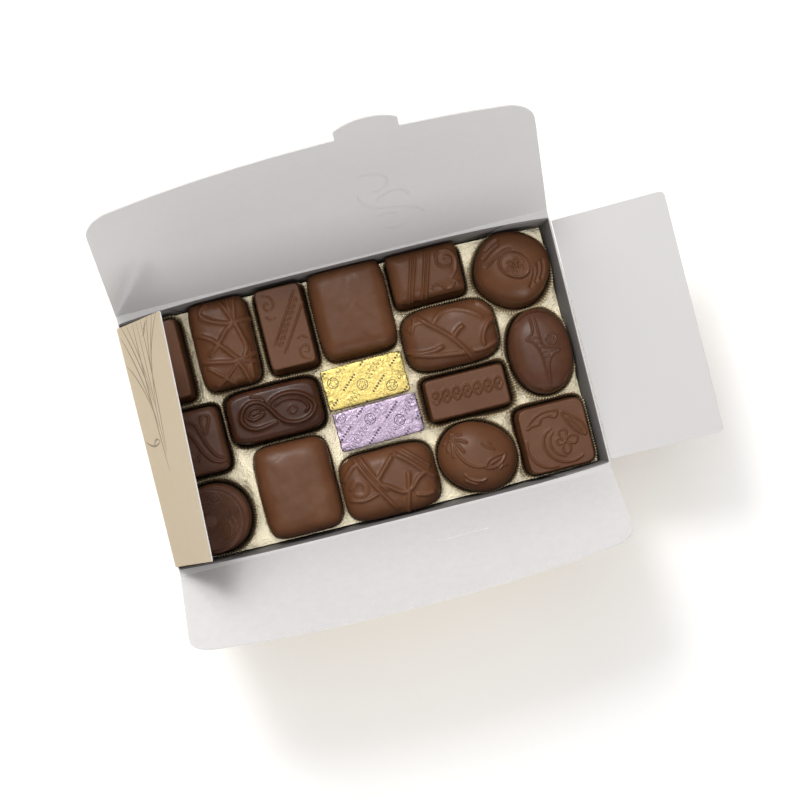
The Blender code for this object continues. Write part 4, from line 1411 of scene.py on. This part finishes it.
Flap = namedtuple("Flap", "node body joint out along half taper edge corner bend")


def long_edge(length, sag, skew):
    """Free edge of a long flap as a function of the place along its crease."""
    return lambda s: length + skew * s - sag * (np.abs(s) / 80.0) ** 2.2


FLAPS = (
    Flap("flap_back", "back_flap", "back_crease", (0, 1), (1, 0), 90.4, 0.021,
         long_edge(85.6, 7.6, 0.035), 11.0, lambda s, r: -0.9 * (r / 85.0) ** 2),
    Flap("flap_front", "front_flap", "front_crease", (0, -1), (1, 0), 90.3, 0.018,
         long_edge(61.8, 6.4, -0.012), 9.0, lambda s, r: -0.5 * (r / 61.0) ** 2),
    Flap("flap_right", "right_flap", "right_crease", (1, 0), (0, 1), 49.9, 0.0,
         lambda s: 47.6 + 0 * s, 2.2, lambda s, r: -0.4 * (r / 47.0) ** 2),
    Flap("flap_left", "left_flap", "left_crease", (-1, 0), (0, 1), 49.8, 0.0,
         lambda s: 47.8 + 0 * s, 1.2, None),
)
TONGUE = (24.6, 12.5, 5.4, 4.6)
SLIT = (24.5, 10.9, 21.0, 0.7)


def flap_frame(flap):
    """Crease point in millimetres, outward slope and inward normal of a flap at rest."""
    crease = np.array(JOINTS[flap.joint]["pos_m"]) / MM
    low, high = box_in_mm(flap.node)
    out = np.array((*flap.out, 0.0))
    far = [out @ np.array((low[0], low[1], 0.0)), out @ np.array((high[0], high[1], 0.0))]
    gap = np.array(far) - out @ crease
    spread = gap[np.argmax(np.abs(gap))]
    raised = math.atan2(high[2] - crease[2], spread)
    slope = out * math.cos(raised) + np.array((0, 0, math.sin(raised)))
    inner = -out * math.sin(raised) + np.array((0, 0, math.cos(raised)))
    return crease, slope, inner


def flap_columns(flap, marks=()):
    """Places along the crease, as shares of the half length, and the corner's rounding at each."""
    corner = [(1 - flap.corner / flap.half * (1 - math.cos(t)), flap.corner * (1 - math.sin(t)))
              for t in np.linspace(0, math.pi / 2, 12)]
    limit = corner[-1][0]
    middle = sorted(set(np.linspace(-limit, limit, 61)[1:-1].tolist()) | set(marks))
    columns = [(-share, cut) for share, cut in corner] + [(share, 0.0) for share in middle]
    return columns + [(share, cut) for share, cut in reversed(corner)]


def make_flap(flap, thickness, materials, twist):
    """One lid flap as a thin card with a white inside and a printed outside."""
    crease, slope, inner = flap_frame(flap)
    along = np.array((*flap.along, 0.0))
    marks = ()
    if flap.node == "flap_back":
        marks = [(TONGUE[0] + sign * TONGUE[1]) / 88.6 for sign in (-1, 1)]
    elif flap.node == "flap_front":
        marks = [(SLIT[0] + sign * SLIT[1]) / 89.9 for sign in (-1, 1)]
    columns = flap_columns(flap, marks)
    shares = list(np.linspace(0, 1, 21))
    slit_rows = None
    if flap.node == "flap_front":
        low, high = (SLIT[2] - SLIT[3] / 2) / 61.3, (SLIT[2] + SLIT[3] / 2) / 61.3
        clear = [share for share in shares if min(abs(share - low), abs(share - high)) > 0.01]
        shares = sorted(clear + [low, high])
        slit_rows = (shares.index(low), shares.index(high))
    places, plane = [], []

    def bend(s, r):
        if flap.bend:
            return flap.bend(s, r)
        return r * math.tan(twist / 2 * s / 50.0) + 0.5 * math.sin(math.pi * r / 48.0)

    def point(s, r):
        places.append(crease + along * s + slope * r + inner * bend(s, r))
        plane.append((s * MM, r * MM))
        return len(places) - 1

    grid = []
    for share, cut in columns:
        reach = float(flap.edge(share * flap.half)) - cut
        column = []
        for row in shares:
            r = row * reach
            column.append(point(share * (flap.half - flap.taper * r), r))
        grid.append(column)
    faces = []
    for index in range(len(grid) - 1):
        middle = (columns[index][0] + columns[index + 1][0]) / 2 * 89.9
        for row in range(len(shares) - 1):
            in_slit = slit_rows and row == slit_rows[0] and abs(middle - SLIT[0]) < SLIT[1]
            if not in_slit:
                faces.append((grid[index][row], grid[index + 1][row],
                              grid[index + 1][row + 1], grid[index][row + 1]))
    if flap.node == "flap_back":
        inside = [i for i, (share, _) in enumerate(columns)
                  if abs(share * 88.6 - TONGUE[0]) <= TONGUE[1] + 0.01]
        previous = [grid[i][-1] for i in inside]
        for share in (0.25, 0.5, 0.75, 1.0):
            current = []
            for i in inside:
                s = columns[i][0] * 88.6
                crown = TONGUE[3] * (1 - (abs(s - TONGUE[0]) / TONGUE[1]) ** 2.2)
                base = float(flap.edge(columns[i][0] * flap.half))
                middle = float(flap.edge(TONGUE[0])) + TONGUE[2]
                current.append(point(s, base + (middle + crown - base) * share))
            for k in range(len(inside) - 1):
                faces.append((previous[k], previous[k + 1], current[k + 1], current[k]))
            previous = current
    card = mesh_object(flap.node + "_card", places, faces, materials)
    uv = card.data.uv_layers.new(name="card_plane")
    loops = np.empty(len(card.data.loops), int)
    card.data.loops.foreach_get("vertex_index", loops)
    uv.data.foreach_set("uv", np.array(plane)[loops].ravel())
    facing = np.array(card.data.polygons[0].normal) @ inner
    if facing < 0:
        card.data.flip_normals()
    shell = card.modifiers.new("thickness", "SOLIDIFY")
    shell.thickness = thickness * MM
    shell.offset = 0.0
    shell.material_offset = 1
    shell.material_offset_rim = 2
    plain_mesh(card)
    card.data.set_sharp_from_angle(angle=math.radians(40))
    hand_over(card, flap.body, flap.node)
    return card


def make_sheet(material):
    """Cream sheet with soft creases, closed down to the base."""
    base = box_in_mm("cream_sheet")[0][2]
    columns, rows = 144, 86
    share_u, share_v = np.meshgrid(np.linspace(-1, 1, columns + 1), np.linspace(-1, 1, rows + 1))

    def layer(height, top):
        reach = wall_u(height) - 0.8
        u = share_u * reach
        back = wall_v(1, share_u, height) - 1.1
        front = -(wall_v(-1, share_u, height) - 1.1)
        v = front + (back - front) * (share_v + 1) / 2
        z = np.full_like(u, height)
        if top:
            waves = [
                noise.noise(Vector((x / 17, y / 13, 0.7))) * 0.34
                - abs(noise.noise(Vector((x / 6, y / 7, 4.2)))) * 0.3
                for x, y in zip(u.ravel(), v.ravel())]
            z = z + np.array(waves).reshape(z.shape) - 0.12
        return np.stack([u, v, z], -1)

    points, faces = plate(layer(base, False), layer(SHEET_TOP, True))
    sheet = mesh_object("cream_sheet_creased", points, faces, (material,), sharp_angle=50)
    hand_over(sheet, "box", "cream_sheet")
    return sheet


def crinkle_height(places, centre, half_x, size):
    """Sharp creases in the foil, stronger towards the folded ends."""
    heights = []
    for place in places:
        p = Vector(place)
        first = abs(noise.noise(p / 3.1)) ** 0.7
        second = abs(noise.noise(p / 1.5 + Vector((9, 4, 1))))
        towards_end = min(1.0, abs(place[0] - centre[0]) / half_x)
        heights.append((0.3 + 1.1 * towards_end ** 5) * (0.75 * first + 0.25 * second))
    return -size * np.array(heights)


def make_foil(node, length, width, turn, material, crinkle, slot):
    """A chocolate block wrapped in crinkled foil, with its flap of foil folded at each end."""
    low, high = box_in_mm(node)
    centre, height = (low + high)[:2] / 2, high[2] - low[2]
    half_x, half_y = length / 2, width / 2
    x, y, quads, border = square_grid(int(length / 0.34), int(width / 0.34))
    factor = rounding(x, y, 26)
    edge = np.maximum(np.abs(x), np.abs(y))
    z = height - 0.14 * edge ** 12
    points = [np.column_stack([factor * x * (half_x - 0.35), factor * y * (half_y - 0.35), z])]
    faces = [tuple(quad) for quad in quads.tolist()]
    edge_x, edge_y = (factor * x)[border], (factor * y)[border]
    sides = [(0.12, height - 0.35), (0.0, height - 0.7)]
    sides += [(0.0, height * share) for share in np.linspace(0.85, 0.05, 9)] + [(0.3, 0.0)]
    for inset, level in sides:
        points.append(np.column_stack(
            [edge_x * (half_x - inset), edge_y * (half_y - inset), np.full(len(border), level)]))
    faces += skirt_faces(border, len(x), len(sides))
    points = np.vstack(points)
    # Each end shows the two slanting edges of its folded flap.
    end = np.clip((np.abs(points[:, 0]) - half_x + 0.3) / 0.3, 0, 1)
    slant = np.abs(np.abs(points[:, 1]) / half_y - points[:, 2] / height)
    points[:, 0] += np.sign(points[:, 0]) * 0.22 * end * np.clip(1 - slant / 0.09, 0, 1)
    points[:, :2] = points[:, :2] @ turning(turn) + centre
    points[:, 2] += low[2]
    block = mesh_object(node + "_wrapped", points, faces, (material,))
    count = len(block.data.vertices)
    normals = np.empty(count * 3)
    block.data.vertex_normals.foreach_get("vector", normals)
    push = crinkle_height(points, centre, half_x, crinkle / MM)
    moved = points + normals.reshape(-1, 3) * push[:, None]
    block.data.vertices.foreach_set("co", (moved * MM).ravel())
    block.data.update()
    hand_over(block, "box", node)
    return block


# ---------------------------------------------------------------- operators

# Thin bowed lines, as start, end, bow and width in the flap's own plane: along the crease, then out.
LEAF_LINES = (
    ((-12, 20), (50, 16.4), -1.0, 0.95), ((-5, 20.4), (50, 20.6), 0.5, 0.6),
    ((6, 19.6), (46, 1.6), 2.4, 0.85), ((12, 17.6), (34, 1.2), 2.0, 0.7),
    ((16, 20), (50, 4.4), 1.8, 0.8), ((20, 20.2), (50, 9.6), 1.2, 0.6),
    ((14, 21.4), (50, 39), -2.6, 0.75), ((24, 24.6), (50, 33), -1.4, 0.6),
    ((-4, 21.4), (50, 25.2), 1.6, 0.8), ((30, 26), (50, 44), -1.6, 0.5),
    ((1, 17.4), (-1.4, 9), 2.2, 0.8), ((1, 17.4), (2.6, 1.4), -2.0, 0.8),
    ((43, 24), (46.6, 28.6), 0.4, 0.8), ((45.4, 26), (48.8, 31), 0.4, 0.8),
)
PRESSED_LINES = (
    ((16, 45), (28, 31), -3.4, 1.1), ((28, 31), (41, 22), 2.6, 1.1),
    ((18, 58), (29, 52), 2.4, 1.0), ((29, 52), (22, 45), 2.0, 1.0),
    ((23, 38), (32, 43), 1.6, 0.9), ((32, 43), (36, 36), 1.4, 0.9),
    ((22, 27), (30, 26), 1.4, 0.9), ((24, 18), (33, 17), -1.6, 0.9),
)


def tray_cards(settings):
    """The three card finishes of the box: inside, outside and cut edge."""
    inside = card_material("white_card", settings.inside, scaled(settings.inside, 0.95))
    outside = card_material("printed_card", settings.outside, scaled(settings.outside, 0.95))
    edge = card_material("cut_card_edge", scaled(settings.inside, 1.12),
                         scaled(settings.inside, 0.9))
    return inside, outside, edge


class PRALINE_OT_tray(bpy.types.Operator):
    """Make the open tray with its glue tabs and the strips along its creases"""

    bl_idname = "praline_box.tray"
    bl_label = "Tray"

    def execute(self, context):
        settings = context.scene.praline_card
        inside, outside, edge = tray_cards(settings)
        # Painted shade: the inner walls and glue tabs are white card like the inside, darkened to
        # stand in for the shade inside the box.
        wall = card_material("painted_shade_wall_card", settings.painted_shade_inner_wall,
                             scaled(settings.painted_shade_inner_wall, 0.93))
        make_tray(settings.thickness / MM, wall, outside, edge)
        make_tabs(settings.thickness / MM, settings.tab_length / MM, wall)
        make_ledges(inside)
        return {"FINISHED"}


class PRALINE_OT_flaps(bpy.types.Operator):
    """Make the four lid flaps"""

    bl_idname = "praline_box.flaps"
    bl_label = "Lid flaps"

    def execute(self, context):
        settings = context.scene.praline_card
        inside, outside, edge = tray_cards(settings)
        shade = scaled(settings.inside, 0.95)
        pressed = card_material("white_card_pressed", settings.inside, shade, PRESSED_LINES,
                                pressed=True)
        leafy = card_material("printed_card_leafy", settings.outside,
                              scaled(settings.outside, 0.95), LEAF_LINES, settings.line_ink)
        # Painted light: the front flap's inside is the same white card, painted lighter to stand in
        # for the light that falls on it.
        front = card_material("white_card_painted_light_front", scaled(settings.inside, 1.13),
                              settings.inside)
        # Painted shade: the right flap's inside is the same white card, painted darker to stand in
        # for the weaker light on it.
        right = card_material("white_card_painted_shade_right", scaled(settings.inside, 0.91),
                              scaled(settings.inside, 0.9))
        faces = {"flap_back": pressed, "flap_front": front, "flap_right": right, "flap_left": inside}
        for flap in FLAPS:
            first = faces[flap.node]
            second = leafy if flap.node == "flap_left" else outside
            make_flap(flap, settings.thickness / MM, (first, second, edge), settings.left_twist)
        return {"FINISHED"}


class PRALINE_OT_sheet(bpy.types.Operator):
    """Make the cream sheet that the cups stand on"""

    bl_idname = "praline_box.sheet"
    bl_label = "Cream sheet"

    def execute(self, context):
        make_sheet(sheet_material(context.scene.praline_card.sheet))
        return {"FINISHED"}


class PRALINE_OT_chocolates(bpy.types.Operator):
    """Make the sixteen moulded and coated pralines"""

    bl_idname = "praline_box.chocolates"
    bl_label = "Pralines"

    def execute(self, context):
        settings = context.scene.praline_chocolate
        tints = {
            "milk": chocolate_material("milk_chocolate_satin", settings.milk,
                                       settings.milk_shade, 0.36, 0.3),
            "dark": chocolate_material("dark_chocolate_satin", settings.dark,
                                       settings.dark_shade, 0.34, 0.34),
            "darkest": chocolate_material("darkest_chocolate_satin", settings.darkest,
                                          scaled(settings.darkest, 0.7), 0.32, 0.3),
        }
        for seed, sweet in enumerate(SWEETS):
            points, faces, height, base = sculpt(sweet)
            praline = mesh_object(sweet.name + "_praline", points, faces, (tints[sweet.tint],))
            add_relief(praline, sweet, height, base, settings.relief, seed)
            hand_over(praline, "box", sweet.name)
        return {"FINISHED"}


class PRALINE_OT_foils(bpy.types.Operator):
    """Make the two foil-wrapped blocks"""

    bl_idname = "praline_box.foils"
    bl_label = "Foil blocks"

    def execute(self, context):
        settings = context.scene.praline_foil
        yellow = foil_material("yellow_printed_foil", settings.yellow, settings.yellow_ink)
        lilac = foil_material("lilac_printed_foil", settings.lilac, settings.lilac_ink)
        make_foil(*YELLOW_BLOCK, yellow, settings.crinkle, "foil_yellow")
        make_foil(*LILAC_BLOCK, lilac, settings.crinkle, "foil_lilac")
        return {"FINISHED"}


class PRALINE_OT_cups(bpy.types.Operator):
    """Make the pleated paper cup under each praline"""

    bl_idname = "praline_box.cups"
    bl_label = "Paper cups"

    def execute(self, context):
        settings = context.scene.praline_cup
        paper = cup_material(settings.crest, settings.fold)
        for seed, sweet in enumerate(SWEETS):
            make_cup(sweet, settings, paper, seed)
        return {"FINISHED"}


def place_and_aim(thing, place, target, up=(0.0, 0.0, 1.0)):
    """Put a camera or light at a place, looking at a target."""
    ahead = (Vector(target) - Vector(place)).normalized()
    right = ahead.cross(Vector(up)).normalized()
    turn = Matrix((right, right.cross(ahead), -ahead)).transposed()
    thing.matrix_world = Matrix.Translation(place) @ turn.to_4x4()


class PRALINE_OT_stage(bpy.types.Operator):
    """Make the floor, the lights and the camera"""

    bl_idname = "praline_box.stage"
    bl_label = "Stage"

    def execute(self, context):
        settings = context.scene.praline_stage
        scene = context.scene
        corners = [(x * FLOOR_HALF, y * FLOOR_HALF, 0)
                   for x, y in ((-1, -1), (1, -1), (1, 1), (-1, 1))]
        floor_material, tree, shader, place = new_material("floor_paper")
        tooth = noise_node(tree, place, 600.0)
        put(tree, range_node(tree, tooth, 0.3, 0.7, 0.75, 0.9), shader.inputs["Roughness"])
        shader.inputs["Base Color"].default_value = rgba(settings.floor)
        shader.inputs["Specular IOR Level"].default_value = 0.1
        floor = mesh_object("floor", corners, [(0, 1, 2, 3)], (floor_material,))
        world = bpy.data.worlds.new("even_light")
        world.use_nodes = True
        world.node_tree.nodes["Background"].inputs["Color"].default_value = (1.0, 1.0, 1.0, 1.0)
        world.node_tree.nodes["Background"].inputs["Strength"].default_value = settings.ambient
        scene.world = world
        for name, power, size, place in (
                ("top_light", settings.top, 1.6, (-0.1, 0.3, 1.5)),
                ("rear_light", settings.rear, 0.42, (-0.25, 0.85, 1.4)),
                ("key_light", settings.key, 1.0, (-0.3, 1.5, 1.0)),
                ("fill_light", settings.fill, 0.7, (0.15, -1.4, 0.6))):
            light = bpy.data.lights.new(name, "AREA")
            light.energy = power
            light.size = size
            lamp = bpy.data.objects.new(name, light)
            scene.collection.objects.link(lamp)
            place_and_aim(lamp, place, LIGHT_TARGET)
        lens = bpy.data.cameras.new("camera")
        lens.lens = settings.lens
        lens.sensor_width = 36.0
        lens.clip_end = 20.0
        camera = bpy.data.objects.new("camera", lens)
        scene.collection.objects.link(camera)
        place_and_aim(camera, CAMERA_PLACE, CAMERA_TARGET, CAMERA_UP)
        scene.camera = camera
        scene.view_settings.view_transform = "Standard"
        return {"FINISHED"}


class PRALINE_PT_build(bpy.types.Panel):
    """Lists the steps that build the box of pralines"""

    bl_idname = "PRALINE_PT_build"
    bl_label = "Praline Box"
    bl_space_type = "VIEW_3D"
    bl_region_type = "UI"
    bl_category = "Praline Box"

    def draw(self, context):
        for settings, operators in (
                (context.scene.praline_card, (PRALINE_OT_tray, PRALINE_OT_flaps, PRALINE_OT_sheet)),
                (context.scene.praline_chocolate, (PRALINE_OT_chocolates,)),
                (context.scene.praline_foil, (PRALINE_OT_foils,)),
                (context.scene.praline_cup, (PRALINE_OT_cups,)),
                (context.scene.praline_stage, (PRALINE_OT_stage,))):
            box = self.layout.box()
            for operator in operators:
                box.operator(operator.bl_idname)
            for name in settings.__annotations__:
                box.prop(settings, name)


SETTINGS = {
    "praline_card": CardSettings,
    "praline_chocolate": ChocolateSettings,
    "praline_cup": CupSettings,
    "praline_foil": FoilSettings,
    "praline_stage": StageSettings,
}
CLASSES = (
    *SETTINGS.values(), PRALINE_OT_tray, PRALINE_OT_flaps, PRALINE_OT_sheet, PRALINE_OT_chocolates,
    PRALINE_OT_foils, PRALINE_OT_cups, PRALINE_OT_stage, PRALINE_PT_build,
)


def register():
    """Register the settings, the operators and the panel."""
    for item in CLASSES:
        bpy.utils.register_class(item)
    for name, kind in SETTINGS.items():
        setattr(bpy.types.Scene, name, bpy.props.PointerProperty(type=kind))


def unregister():
    """Take them away again."""
    for name in SETTINGS:
        delattr(bpy.types.Scene, name)
    for item in reversed(CLASSES):
        bpy.utils.unregister_class(item)


def main():
    """Build every piece."""
    register()
    bpy.ops.praline_box.tray()
    bpy.ops.praline_box.flaps()
    bpy.ops.praline_box.sheet()
    bpy.ops.praline_box.chocolates()
    bpy.ops.praline_box.foils()
    bpy.ops.praline_box.cups()
    bpy.ops.praline_box.stage()


if __name__ == "__main__":
    main()
